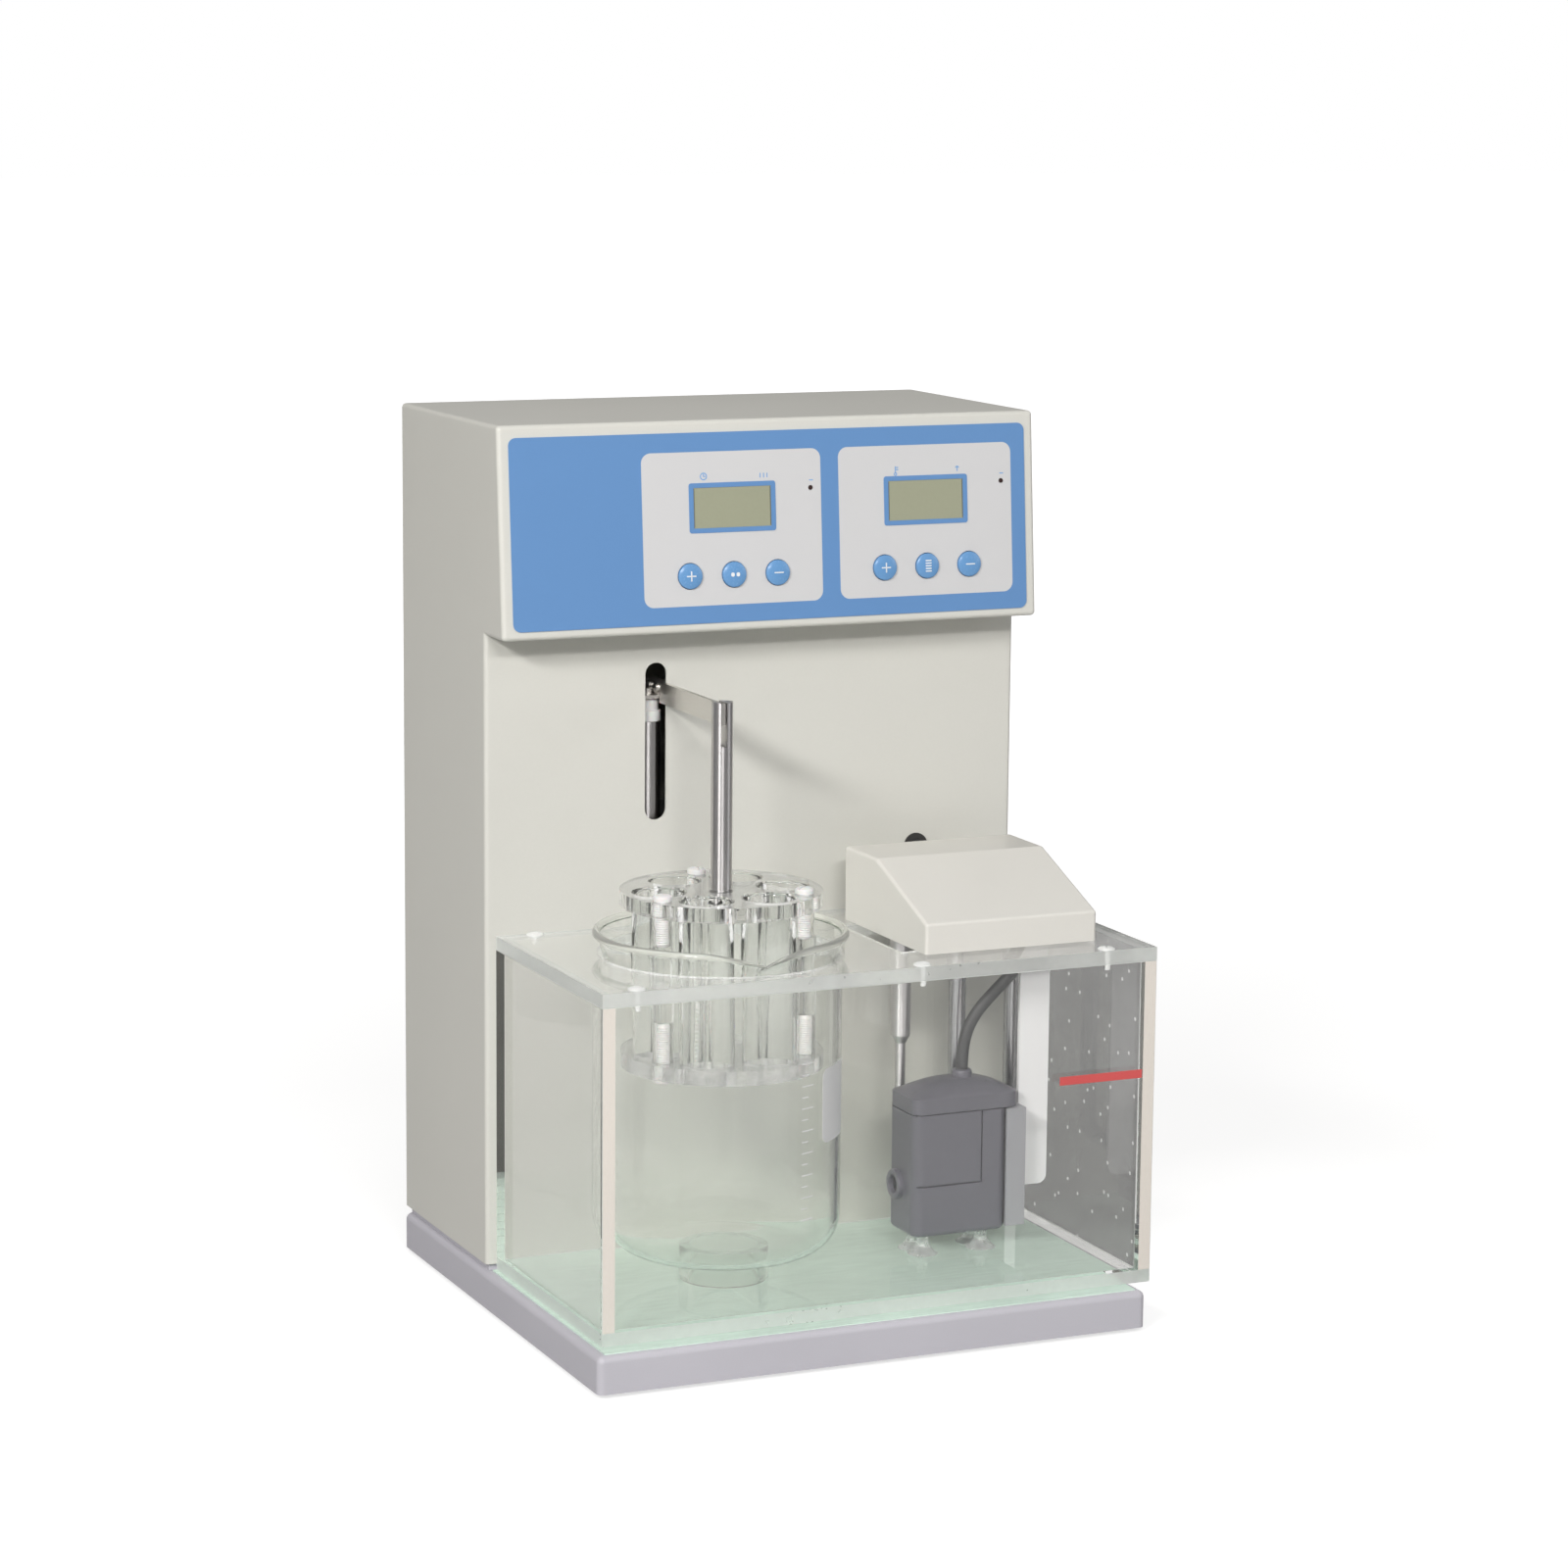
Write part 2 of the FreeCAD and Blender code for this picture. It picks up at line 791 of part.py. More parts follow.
# Mains inlet with its blades, fuse holder and rocker switch
def make_mains():
    x, z = house_cx + inlet_x, deck_z + inlet_high
    out_y = base_y1 + rear_reach
    body = box(span(x, inlet_w), (base_y1 - inlet_depth, base_y1), span(z, inlet_h))
    flange = box(span(x, inlet_flange_w), (base_y1, out_y), span(z, inlet_flange_h))
    body = body.fuse(flange).removeSplitter()
    bay = box(span(x, inlet_bay_w), (out_y - inlet_bay_depth, out_y + over), span(z, inlet_bay_h))
    body = body.cut(bay)
    bay_y = out_y - inlet_bay_depth
    blades = []
    for k in (-1, 0, 1):
        px = x + k * inlet_pin_pitch
        pz = z + (inlet_pin_h / 2 if k == 0 else 0)
        root_y = base_y1 - inlet_depth - inlet_pin_w
        end_y = bay_y + inlet_pin_len
        blade = box(span(px, inlet_pin_w), (root_y, end_y), span(pz, inlet_pin_h))
        body = body.cut(blade)
        blades.append(blade)
    screws = []
    for sx in span(x, inlet_screw_pitch):
        body = body.cut(rod_along_y(sx, z, rear_screw_r, base_y1 - over, out_y + over))
        recess = rod_along_y(sx, z, rear_screw_head_r, out_y - rear_screw_head_h, out_y + over)
        body = body.cut(recess)
        head = rod_along_y(sx, z, rear_screw_head_r, out_y - rear_screw_head_h, out_y)
        shank_y = (cover_in_y - rear_screw_len / 2, out_y - rear_screw_head_h)
        screws.append(head.fuse(rod_along_y(sx, z, rear_screw_r, *shank_y)))
    keep("mains_fittings", body)
    keep("mains_fittings", *blades)
    keep("machine_screws", *screws)

    x = house_cx + fuse_x
    holder = rod_along_y(x, z, fuse_r, base_y1 - fuse_len, base_y1)
    flange_end = base_y1 + fuse_flange_t
    holder = holder.fuse(rod_along_y(x, z, fuse_flange_r, base_y1, flange_end))
    keep("mains_fittings", holder)
    cap = rod_along_y(x, z, fuse_cap_r, flange_end, flange_end + fuse_cap_t)
    groove_y = (flange_end + fuse_cap_t / 2, flange_end + fuse_cap_t + over)
    cap = cap.cut(box(span(x, 2 * fuse_cap_r), groove_y, span(z, fuse_slot_w)))
    keep("mains_fittings", cap)
    nut = rod_along_y(x, z, fuse_nut_r, cover_in_y - fuse_nut_t, cover_in_y)
    keep("mains_fittings", nut.cut(rod_along_y(x, z, fuse_r, cover_in_y - fuse_nut_t - over, base_y1)))

    x = house_cx + rocker_x
    frame_end = base_y1 + rocker_frame_t
    body_y = (base_y1 - rocker_body_depth, base_y1)
    switch = box(span(x, rocker_body_w), body_y, span(z, rocker_body_h))
    frame = box(span(x, rocker_frame_w), (base_y1, frame_end), span(z, rocker_frame_h))
    switch = switch.fuse(frame).removeSplitter()
    pocket_w = rocker_body_w - 2 * rocker_wall
    pocket_h = rocker_body_h - 2 * rocker_wall
    pocket_y = (base_y1 - rocker_depth - rocker_wall, frame_end + over)
    switch = switch.cut(box(span(x, pocket_w), pocket_y, span(z, pocket_h)))
    pivot_y = base_y1 - rocker_depth / 2
    pin_x = span(x, rocker_body_w - rocker_wall)
    switch = switch.cut(rod_along_x(pivot_y, z, rocker_pin_r + rocker_pin_fit, *pin_x))
    keep("mains_fittings", switch)

    tip_y = frame_end + rocker_out
    crown = rocker_h / 2 * math.tan(math.radians(rocker_deg))
    outline = [
        (pivot_y - rocker_depth / 4, z - rocker_h / 4),
        (tip_y, z - rocker_h / 2),
        (tip_y - crown, z),
        (tip_y, z + rocker_h / 2),
        (pivot_y - rocker_depth / 4, z + rocker_h / 4),
    ]
    rocker = prism_x(outline, *span(x, rocker_w))
    pin_fit = rocker_pin_fit
    pin_ends = (pin_x[0] + pin_fit, pin_x[1] - pin_fit)
    rocker = rocker.fuse(rod_along_x(pivot_y, z, rocker_pin_r, *pin_ends))
    rocker.rotate(V(x, pivot_y, z), V(1, 0, 0), -rocker_deg)
    keep("rocker", rocker)


# Head: blue film, pale windows, display modules, lamps
def make_head():
    field = rounded_plate(0, film_low + film_h / 2, film_w, film_h, film_corner_r, 0, film_t)
    mid = window_low + window_h / 2
    panes = []
    for w in window_centres():
        pane = rounded_plate(w, mid, window_w, window_h, window_corner_r, 0, film_t)
        field = field.cut(pane)
        panes.append(pane.cut(panel_openings(0, -over, film_t + over)))
    keep("panel_film", on_panel(field))
    keep("panel_windows", *[on_panel(pane) for pane in panes])

    modules = []
    for w in window_centres():
        fit = glass_fit
        glass_size = (span(w, glass_w - 2 * fit), span(glass_mid, glass_h - 2 * fit))
        glass = box(*glass_size, (-sheet, glass_front))
        back = -sheet - module_t
        module = box(span(w, module_w), span(glass_mid, module_h), (back, -sheet))
        modules.append(on_panel(module.fuse(glass)))
    keep("display_modules", *modules)

    top = -sheet - board_gap
    lamps = [rod_along_z(x, y, lamp_r, top, film_t + lamp_up) for x, y in lamp_spots]
    keep("indicator_lamps", *[on_panel(s) for s in lamps])


button_names = (
    "button_timer_plus",
    "button_timer_set",
    "button_timer_minus",
    "button_heat_plus",
    "button_heat_set",
    "button_heat_minus",
)


def make_buttons():
    """Six caps; each has a collar behind the sheet and a stem to its switch."""
    collar_top = -sheet - button_back_gap
    collar_low = collar_top - button_flange_t
    stem_low = switch_face() + button_travel + button_end_gap
    for name, (x, y) in zip(button_names, button_spots):
        rim = film_t + button_up - button_dome
        cap = rod_along_z(x, y, button_r, collar_low, rim)
        ball_r = (button_r ** 2 + button_dome ** 2) / (2 * button_dome)
        ball = Part.makeSphere(ball_r, V(x, y, rim + button_dome - ball_r))
        dome = ball.common(rod_along_z(x, y, button_r, rim, rim + button_dome + over))
        cap = cap.fuse([dome, rod_along_z(x, y, button_flange_r, collar_low, collar_top)])
        cap = cap.fuse(rod_along_z(x, y, button_stem_r, stem_low, collar_low))
        keep(name, on_panel(cap.removeSplitter()))


def switch_face():
    """Height of a tactile switch's plunger in the panel frame."""
    return -sheet - board_gap + switch_t + plunger_r / 4


def make_control_board():
    top = -sheet - board_gap
    size = (board_w, board_h)
    mid = board_low + board_h / 2
    board = box(span(board_x, size[0]), span(mid, size[1]), (top - board_t, top))
    inset = 2 * standoff_inset
    xs = span(board_x, board_w - inset)
    ys = span(mid, board_h - inset)
    standoffs, screws = [], []
    for x in xs:
        for y in ys:
            post = rod_along_z(x, y, standoff_r, top, -sheet)
            hole = rod_along_z(x, y, board_screw_r, top - board_t - over, top + board_screw_len)
            board = board.cut(hole)
            standoffs.append(on_panel(post.cut(hole)))
            under = top - board_t
            head = rod_along_z(x, y, board_screw_head_r, under - board_screw_head_h, under)
            shank = rod_along_z(x, y, board_screw_r, under, top + board_screw_len)
            screws.append(on_panel(head.fuse(shank)))
    keep("circuit_boards", on_panel(board))
    keep("standoffs", *standoffs)
    keep("machine_screws", *screws)
    switches = []
    for x, y in button_spots:
        body = box(span(x, switch_w), span(y, switch_w), (top, top + switch_t))
        plunger = rod_along_z(x, y, plunger_r, top + switch_t, switch_face())
        switches.append(on_panel(body.fuse(plunger)))
    keep("circuit_boards", *switches)


# Lift: shaft, nylon collar, bracket, arm and their screws
shaft_top = arm_top - arm_tail_h - bracket_t
shaft_low = shaft_top - shaft_len


def make_lift():
    x, y = slot_x, shaft_y
    collar_low = shaft_top - collar_h
    shaft = rod_along_z(x, y, shaft_r, shaft_low, collar_low)
    shaft = shaft.fuse(rod_along_z(x, y, shaft_neck_r, collar_low, shaft_top))
    bore_low = shaft_top + bracket_t - bracket_screw_len
    shaft = shaft.cut(rod_along_z(x, y, bracket_screw_r, bore_low, shaft_top + over))
    keep("lift_shaft", shaft)

    step = collar_low + collar_step_h
    collar = rod_along_z(x, y, collar_low_r, collar_low, step)
    collar = collar.fuse(rod_along_z(x, y, collar_high_r, step, shaft_top))
    keep("shaft_collar", collar.cut(rod_along_z(x, y, shaft_neck_r, collar_low, shaft_top)))

    deep = span(y, bracket_d)
    plate_top = shaft_top + bracket_t
    left = x - bracket_w / 2
    right_face = arm_x + arm_t / 2
    foot = box((left, right_face + bracket_up_t), deep, (shaft_top, plate_top))
    wall = box((right_face, right_face + bracket_up_t), deep, (shaft_top, arm_top))
    bracket = foot.fuse(wall).removeSplitter()
    bracket = bracket.cut(rod_along_z(x, y, bracket_screw_r, shaft_top - over, plate_top + over))

    tail_end = deep[1]
    tip_y = rod_y - arm_past_pin
    tail_low = plate_top
    tail_start = col_in_y + arm_t / 2
    outline = [
        (tip_y, arm_low),
        (tail_start, arm_low),
        (tail_start, tail_low),
        (tail_end, tail_low),
        (tail_end, arm_top),
        (tip_y, arm_top),
    ]
    arm_sides = span(arm_x, arm_t)
    arm = prism_x(outline, *arm_sides)
    pin_z = arm_top - pin_below_top
    notch_r = pin_r + pin_fit
    cut_x = (arm_sides[0] - over, arm_sides[1] + over)
    arm = arm.cut(rod_along_x(rod_y, pin_z, notch_r, *cut_x))
    arm = arm.cut(box(cut_x, span(rod_y, 2 * notch_r), (pin_z, arm_top + over)))
    screws = []
    for sy in span(y, arm_screw_pitch):
        z = (plate_top + arm_top) / 2
        end_x = right_face + bracket_up_t
        hole = rod_along_x(sy, z, arm_screw_r, arm_sides[0] - over, end_x + over)
        arm = arm.cut(hole)
        bracket = bracket.cut(hole)
        head = rod_along_x(sy, z, arm_screw_head_r, arm_sides[0] - arm_screw_head_h, arm_sides[0])
        screws.append(head.fuse(rod_along_x(sy, z, arm_screw_r, arm_sides[0], end_x)))
    keep("arm_bracket", bracket)
    keep("lift_arm", arm)
    keep("arm_screws", *screws)
    head = rod_along_z(x, y, bracket_screw_head_r, plate_top, plate_top + bracket_screw_head_h)
    shank = rod_along_z(x, y, bracket_screw_r, bore_low, plate_top)
    keep("arm_screws", head.fuse(shank))


# Basket: suspension rod, pin, hub nut, discs, mesh, tubes, posts, screws
disc_top = arm_top - disc_below_arm
disc_low = disc_top - disc_t
low_disc_z0 = disc_top - basket_h
low_disc_z1 = low_disc_z0 + disc_t
mesh_z0 = low_disc_z0 - mesh_t


def make_basket():
    x, y = rod_x, rod_y
    rod_top = arm_top + rod_above_arm
    pin_z = arm_top - pin_below_top
    nut_low = disc_low - hub_nut_h
    rod = rod_along_z(x, y, rod_r, disc_top, rod_top)
    rod = rod.fuse(rod_along_z(x, y, rod_stub_r, nut_low, disc_top))
    slot_x_span = span(x - rod_slot_shift, rod_slot_w)
    slot_z = (rod_top - rod_slot_depth, rod_top + over)
    rod = rod.cut(box(slot_x_span, span(y, 2 * rod_r + over), slot_z))
    rod = rod.cut(rod_along_x(y, pin_z, pin_r, *span(x, 2 * rod_r + over)))
    keep("suspension_rod", rod)
    pin = rod_along_x(y, pin_z, pin_r, *span(x, 2 * rod_r))
    keep("suspension_rod", pin.common(rod_along_z(x, y, rod_r, pin_z - pin_r, pin_z + pin_r)))
    corners = circle_points(hub_nut_r, 6, 0, x, y)
    loop = [V(px, py, nut_low) for px, py in corners]
    nut = Part.Face(Part.makePolygon(loop + loop[:1])).extrude(V(0, 0, hub_nut_h))
    keep("suspension_rod", nut.cut(rod_along_z(x, y, rod_stub_r, nut_low, disc_low)))

    tubes = circle_points(tube_ring_r, tube_count, tube_start_deg, x, y)
    posts = circle_points(post_ring_r, post_count, post_start_deg, x, y)
    upper = rod_along_z(x, y, disc_r, disc_low, disc_top)
    upper = upper.cut(rod_along_z(x, y, rod_stub_r, disc_low, disc_top))
    lower = rod_along_z(x, y, disc_r, low_disc_z0, low_disc_z1)
    holes = [rod_along_z(px, py, tube_r + tube_fit, low_disc_z0, disc_top) for px, py in tubes]
    bore_r = nylon_r + nylon_fit
    holes += [rod_along_z(px, py, bore_r, low_disc_z0, disc_top) for px, py in posts]
    keep("upper_disc", upper.cut(holes))
    keep("lower_disc", lower.cut(holes))

    glass = []
    for px, py in tubes:
        tube = rod_along_z(px, py, tube_r, low_disc_z0, low_disc_z0 + tube_len)
        glass.append(tube.cut(rod_along_z(px, py, tube_r - tube_wall, low_disc_z0, disc_top)))
    keep("glass_tubes", *glass)

    columns, upper_screws, lower_screws = [], [], []
    top_end = disc_top - nylon_top_len
    low_end = mesh_z0 + nylon_low_len
    for px, py in posts:
        post = rod_along_z(px, py, post_r, low_disc_z1, disc_low)
        post = post.cut(rod_along_z(px, py, bore_r, low_disc_z1, low_end + nylon_fit))
        columns.append(post.cut(rod_along_z(px, py, bore_r, top_end - nylon_fit, disc_low)))
        head = rod_along_z(px, py, nylon_head_r, disc_top, disc_top + nylon_head_h)
        ring = edges_where(head, lambda b: b.ZMin > disc_top + nylon_head_h / 2)
        head = head.makeFillet(nylon_head_h / 3, ring)
        upper_screws.append(head.fuse(rod_along_z(px, py, nylon_r, top_end, disc_top)))
        head = rod_along_z(px, py, nylon_head_r, mesh_z0 - nylon_low_head_h, mesh_z0)
        lower_screws.append(head.fuse(rod_along_z(px, py, nylon_r, mesh_z0, low_end)))
    keep("basket_posts", *columns)
    keep("basket_screws", *upper_screws)
    keep("basket_screws", *lower_screws)

    outer = Part.Wire(Part.makeCircle(mesh_r, V(x, y, mesh_z0)))
    holes = [Part.Wire(Part.makeCircle(bore_r, V(px, py, mesh_z0))) for px, py in posts]
    reach = tube_r - tube_wall - mesh_hole / 2
    steps = int(reach / mesh_pitch) + 1
    for px, py in tubes:
        for i in range(-steps, steps + 1):
            for j in range(-steps, steps + 1):
                cx, cy = i * mesh_pitch, j * mesh_pitch
                if math.hypot(cx, cy) < reach:
                    holes.append(square_wire(px + cx, py + cy, mesh_hole, mesh_z0))
    mesh = Part.Face([outer] + holes)
    mesh.validate()
    keep("basket_mesh", mesh.extrude(V(0, 0, mesh_t)))


def square_wire(x, y, w, z):
    xs, ys = span(x, w), span(y, w)
    loop = [V(xs[0], ys[0], z), V(xs[1], ys[0], z), V(xs[1], ys[1], z), V(xs[0], ys[1], z)]
    return Part.makePolygon(loop + loop[:1])


# Beaker: a blown cup with a rounded heel, a flared rim and a spout
ring_top = tank_floor_z + ring_h
beaker_z0 = ring_top + beaker_seat_gap
beaker_z1 = beaker_z0 + beaker_h


def cup(inset):
    """Revolved body of the beaker, drawn in by an inset."""
    r = beaker_r - inset
    heel = beaker_corner_r - inset
    low = beaker_z0 + inset
    high = beaker_z1 - beaker_flare_h
    turn = heel * (1 - math.sqrt(0.5))
    edges = [
        Part.LineSegment(V(0, 0, low), V(r - heel, 0, low)),
        Part.Arc(V(r - heel, 0, low), V(r - turn, 0, low + turn), V(r, 0, low + heel)),
        Part.LineSegment(V(r, 0, low + heel), V(r, 0, high)),
        Part.LineSegment(V(r, 0, high), V(0, 0, high)),
        Part.LineSegment(V(0, 0, high), V(0, 0, low)),
    ]
    face = Part.Face(Part.Wire([e.toShape() for e in edges]))
    body = face.revolve(V(0, 0, 0), V(0, 0, 1), 360)
    body.translate(V(rod_x, rod_y, 0))
    return body


def lip_wire(r, reach, tip_r, z):
    """A circle drawn out to a rounded point at the spout."""
    flank = math.acos((r - tip_r) / (reach - tip_r))
    facing = math.radians(spout_deg)
    centre = V(rod_x, rod_y, z)

    def at(radius, angle):
        return centre + V(radius * math.cos(angle), radius * math.sin(angle), 0)

    tip = at(reach - tip_r, facing)

    def by_tip(angle):
        return tip + V(tip_r * math.cos(angle), tip_r * math.sin(angle), 0)

    left, right = facing - flank, facing + flank
    edges = [
        Part.Arc(at(r, right), at(r, facing + math.pi), at(r, left)),
        Part.LineSegment(at(r, left), by_tip(left)),
        Part.Arc(by_tip(left), by_tip(facing), by_tip(right)),
        Part.LineSegment(by_tip(right), at(r, right)),
    ]
    return Part.Wire([e.toShape() for e in edges])


def lip(inset, grow):
    """Flared collar of the beaker between its body and its rim."""
    low = beaker_z1 - beaker_flare_h
    low_r = beaker_r - inset
    spread = 1 + beaker_wall / beaker_r
    low_wire = lip_wire(low_r, low_r * spread, low_r / 2, low)
    high_z = beaker_z1 + grow
    high_wire = lip_wire(beaker_rim_r - inset, spout_reach - inset, spout_tip_r, high_z)
    return Part.makeLoft([low_wire, high_wire], True, True)


def make_beaker():
    outside = cup(0).fuse(lip(0, 0))
    inside = cup(beaker_wall).fuse(lip(beaker_wall, 0))
    glass = outside.cut(inside)
    run = spout_reach - beaker_r
    cutter = box((beaker_r, spout_reach + over), span(0, spout_reach), (0, spout_drop * 2))
    cutter.rotate(V(beaker_r, 0, 0), V(0, 1, 0), math.degrees(math.atan2(spout_drop, run)))
    cutter.translate(V(0, 0, beaker_z1))
    cutter.rotate(V(0, 0, 0), V(0, 0, 1), spout_deg)
    cutter.translate(V(rod_x, rod_y, 0))
    keep("beaker", glass.cut(cutter))

    x = house_cx - ring_left
    ring = rod_along_z(x, rod_y, ring_r, tank_floor_z, ring_top)
    keep("beaker_ring", ring.cut(rod_along_z(x, rod_y, ring_r - ring_wall, tank_floor_z, ring_top)))


# Water bath: glued clear walls, floor and lid, level mark and lid screws
cutout_x0 = house_cx + cutout_left
cutout_y0 = col_y - cutout_front


def lid_screw_spots():
    ys = (tank_y0 + lid_screw_inset, col_y - lid_screw_inset)
    xs = (tank_x0 + lid_screw_left_in, cutout_x0 - lid_screw_by_cutout,
          tank_x1 - lid_screw_right_in)
    return [(x, y) for x in xs for y in ys]


def make_tank():
    t = tank_wall
    tall = (tank_z0, lid_z0)
    inner_x = (tank_x0 + t, tank_x1 - t)
    walls = {
        "left": box((tank_x0, inner_x[0]), (tank_y0, col_y), tall),
        "right": box((inner_x[1], tank_x1), (tank_y0, col_y), tall),
        "front": box(inner_x, (tank_y0, tank_y0 + t), tall),
        "back": box(inner_x, (col_y - t, col_y), tall),
    }
    lid = box((tank_x0, tank_x1), (tank_y0, col_y), (lid_z0, tank_z1))
    lid = lid.cut(rod_along_z(rod_x, rod_y, hole_r, lid_z0 - over, tank_z1 + over))
    cut_x = (cutout_x0, cutout_x0 + cutout_w)
    cut_y = (cutout_y0, cutout_y0 + cutout_d)
    lid = lid.cut(box(cut_x, cut_y, (lid_z0 - over, tank_z1 + over)))
    screws = []
    for x, y in lid_screw_spots():
        head = rod_along_z(x, y, lid_screw_head_r, tank_z1, tank_z1 + lid_screw_head_h)
        rim = edges_where(head, lambda b: b.ZMin > tank_z1 + lid_screw_head_h / 2)
        head = head.makeFillet(lid_screw_head_h / 3, rim)
        shank = rod_along_z(x, y, lid_screw_r, tank_z1 - lid_screw_len, tank_z1)
        screws.append(head.fuse(shank))
        lid = lid.cut(shank)
        for name in ("front", "back"):
            walls[name] = walls[name].cut(shank)
    keep("tank_panels", *walls.values())
    keep("tank_lid", lid)
    keep("tank_panels", box(inner_x, (tank_y0 + t, col_y - t), (tank_z0, tank_floor_z)))
    keep("nylon_screws", *screws)


# Heater cover, carrier plate and what hangs from it
cover_x0 = house_cx + cover_left
cover_x1 = cover_x0 + cover_w
cover_y1 = col_y - cover_back
cover_y0 = cover_y1 - cover_d
carrier_top = tank_z1 + carrier_t
heater_y = col_y - hang_out
strip_y = col_y - strip_out


def cover_outline(inset):
    drop = cover_h - cover_front_h
    run = cover_d - cover_flat_d
    slope_inset = inset * math.hypot(drop, run) / run
    low = tank_z1 - (over if inset else 0)
    high = tank_z1 + cover_h - inset
    crease_y = cover_y1 - cover_flat_d
    crease_shift = (slope_inset - inset) * run / drop
    front_z = tank_z1 + cover_front_h - slope_inset + inset * drop / run
    return [
        (cover_y1 - inset, low),
        (cover_y1 - inset, high),
        (crease_y + crease_shift, high),
        (cover_y0 + inset, front_z),
        (cover_y0 + inset, low),
    ]


def make_heater_cover():
    cover = prism_x(cover_outline(0), cover_x0, cover_x1)
    rounds = edges_where(cover, lambda b: b.ZMax > tank_z1 + cover_edge_r)
    cover = cover.makeFillet(cover_edge_r, rounds)
    inner_x = (cover_x0 + cover_wall, cover_x1 - cover_wall)
    cover = cover.cut(prism_x(cover_outline(cover_wall), *inner_x))
    notch_x = span(house_cx + grommet_x, notch_w)
    notch_y = (cover_y1 - cover_wall - over, cover_y1 + over)
    cover = cover.cut(box(notch_x, notch_y, (tank_z1 - over, tank_z1 + notch_h)))
    keep("heater_cover", cover)


def make_heater():
    gap = cover_wall + carrier_gap
    plate_x = (cover_x0 + gap, cover_x1 - gap)
    plate_y = (cover_y0 + gap, cover_y1 - gap)
    plate = box(plate_x, plate_y, (tank_z1, carrier_top))
    cut_z = (tank_z1 - over, carrier_top + over)

    legs_x = span(house_cx + heater_x, heater_leg_gap)
    bend = heater_leg_gap / 2
    low = tank_floor_z + heater_low + bend
    head_top = carrier_top + heater_head_h
    path = Part.Wire([
        Part.LineSegment(V(legs_x[0], heater_y, head_top), V(legs_x[0], heater_y, low)).toShape(),
        Part.Arc(V(legs_x[0], heater_y, low), V(legs_x[0] + bend, heater_y, low - bend),
                 V(legs_x[1], heater_y, low)).toShape(),
        Part.LineSegment(V(legs_x[1], heater_y, low), V(legs_x[1], heater_y, head_top)).toShape(),
    ])
    section = Part.Wire(Part.makeCircle(heater_r, V(legs_x[0], heater_y, head_top), V(0, 0, 1)))
    keep("heater_tube", path.makePipeShell([section], True, False))
    head_x = (legs_x[0] - heater_r - heater_head_over, legs_x[1] + heater_r + heater_head_over)
    head_x = (head_x[0], min(head_x[1], plate_x[1]))
    head = box(head_x, span(heater_y, heater_head_d), (carrier_top, head_top))
    for x in legs_x:
        plate = plate.cut(rod_along_z(x, heater_y, heater_r + hang_fit, *cut_z))
        head = head.cut(rod_along_z(x, heater_y, heater_r, carrier_top, head_top))
    keep("terminal_blocks", head)

    x = house_cx + probe_x
    nut_top = carrier_top + probe_nut_h
    step_z = tank_z1 - probe_step_below
    cone_z = step_z - probe_cone
    probe = rod_along_z(x, heater_y, probe_r, step_z, nut_top)
    cone = Part.makeCone(probe_tip_r, probe_r, probe_cone, V(x, heater_y, cone_z))
    tip = rod_along_z(x, heater_y, probe_tip_r, tank_z1 - probe_len, cone_z)
    keep("temperature_probe", probe.fuse([cone, tip]))
    plate = plate.cut(rod_along_z(x, heater_y, probe_r + hang_fit, *cut_z))
    loop = [V(px, py, carrier_top) for px, py in circle_points(probe_nut_r, 6, 0, x, heater_y)]
    nut = Part.Face(Part.makePolygon(loop + loop[:1])).extrude(V(0, 0, probe_nut_h))
    keep("temperature_probe", nut.cut(rod_along_z(x, heater_y, probe_r, carrier_top, nut_top)))

    sx = span(house_cx + strip_x, strip_w)
    sy = span(strip_y, strip_t)
    low = tank_z1 - strip_len
    blade = box(sx, sy, (low, carrier_top + strip_t))
    corners = edges_where(blade, lambda b: b.YLength > strip_t / 2 and b.ZMax < low + strip_t
                          and b.XLength < strip_t / 2)
    blade = blade.makeFillet(strip_corner_r, corners)
    tab = box(sx, (sy[0], sy[0] + strip_tab), (carrier_top, carrier_top + strip_t))
    strip = blade.fuse(tab).removeSplitter()
    hole_x = (sx[0] - hang_fit, sx[1] + hang_fit)
    hole_y = (sy[0] - hang_fit, sy[1] + hang_fit)
    plate = plate.cut(box(hole_x, hole_y, cut_z))
    screw_y = sy[1] + (strip_tab - strip_t) / 2
    top = carrier_top + strip_t
    screws = []
    for x in span(house_cx + strip_x, strip_w * 2 / 3):
        shank = rod_along_z(x, screw_y, strip_screw_r, tank_z1, top)
        strip = strip.cut(shank)
        plate = plate.cut(shank)
        head = rod_along_z(x, screw_y, strip_screw_head_r, top, top + strip_screw_head_h)
        screws.append(head.fuse(shank))
    keep("guard_strip", strip)
    keep("nylon_screws", *screws)

    points = pump_lead_points()
    through = points[-1]
    plate = plate.cut(rod_along_z(through.x, through.y, lead_r + hang_fit, *cut_z))
    keep("carrier_plate", plate)


# Circulation pump on four suction cups
pump_x0 = house_cx + pump_left
pump_x1 = pump_x0 + pump_w
pump_y0 = col_y - pump_front_out
pump_y1 = pump_y0 + pump_d
pump_z0 = tank_floor_z + pump_low
pump_z1 = pump_z0 + pump_h
pump_cap_top = pump_z1 + pump_cap_h + pump_dome_h


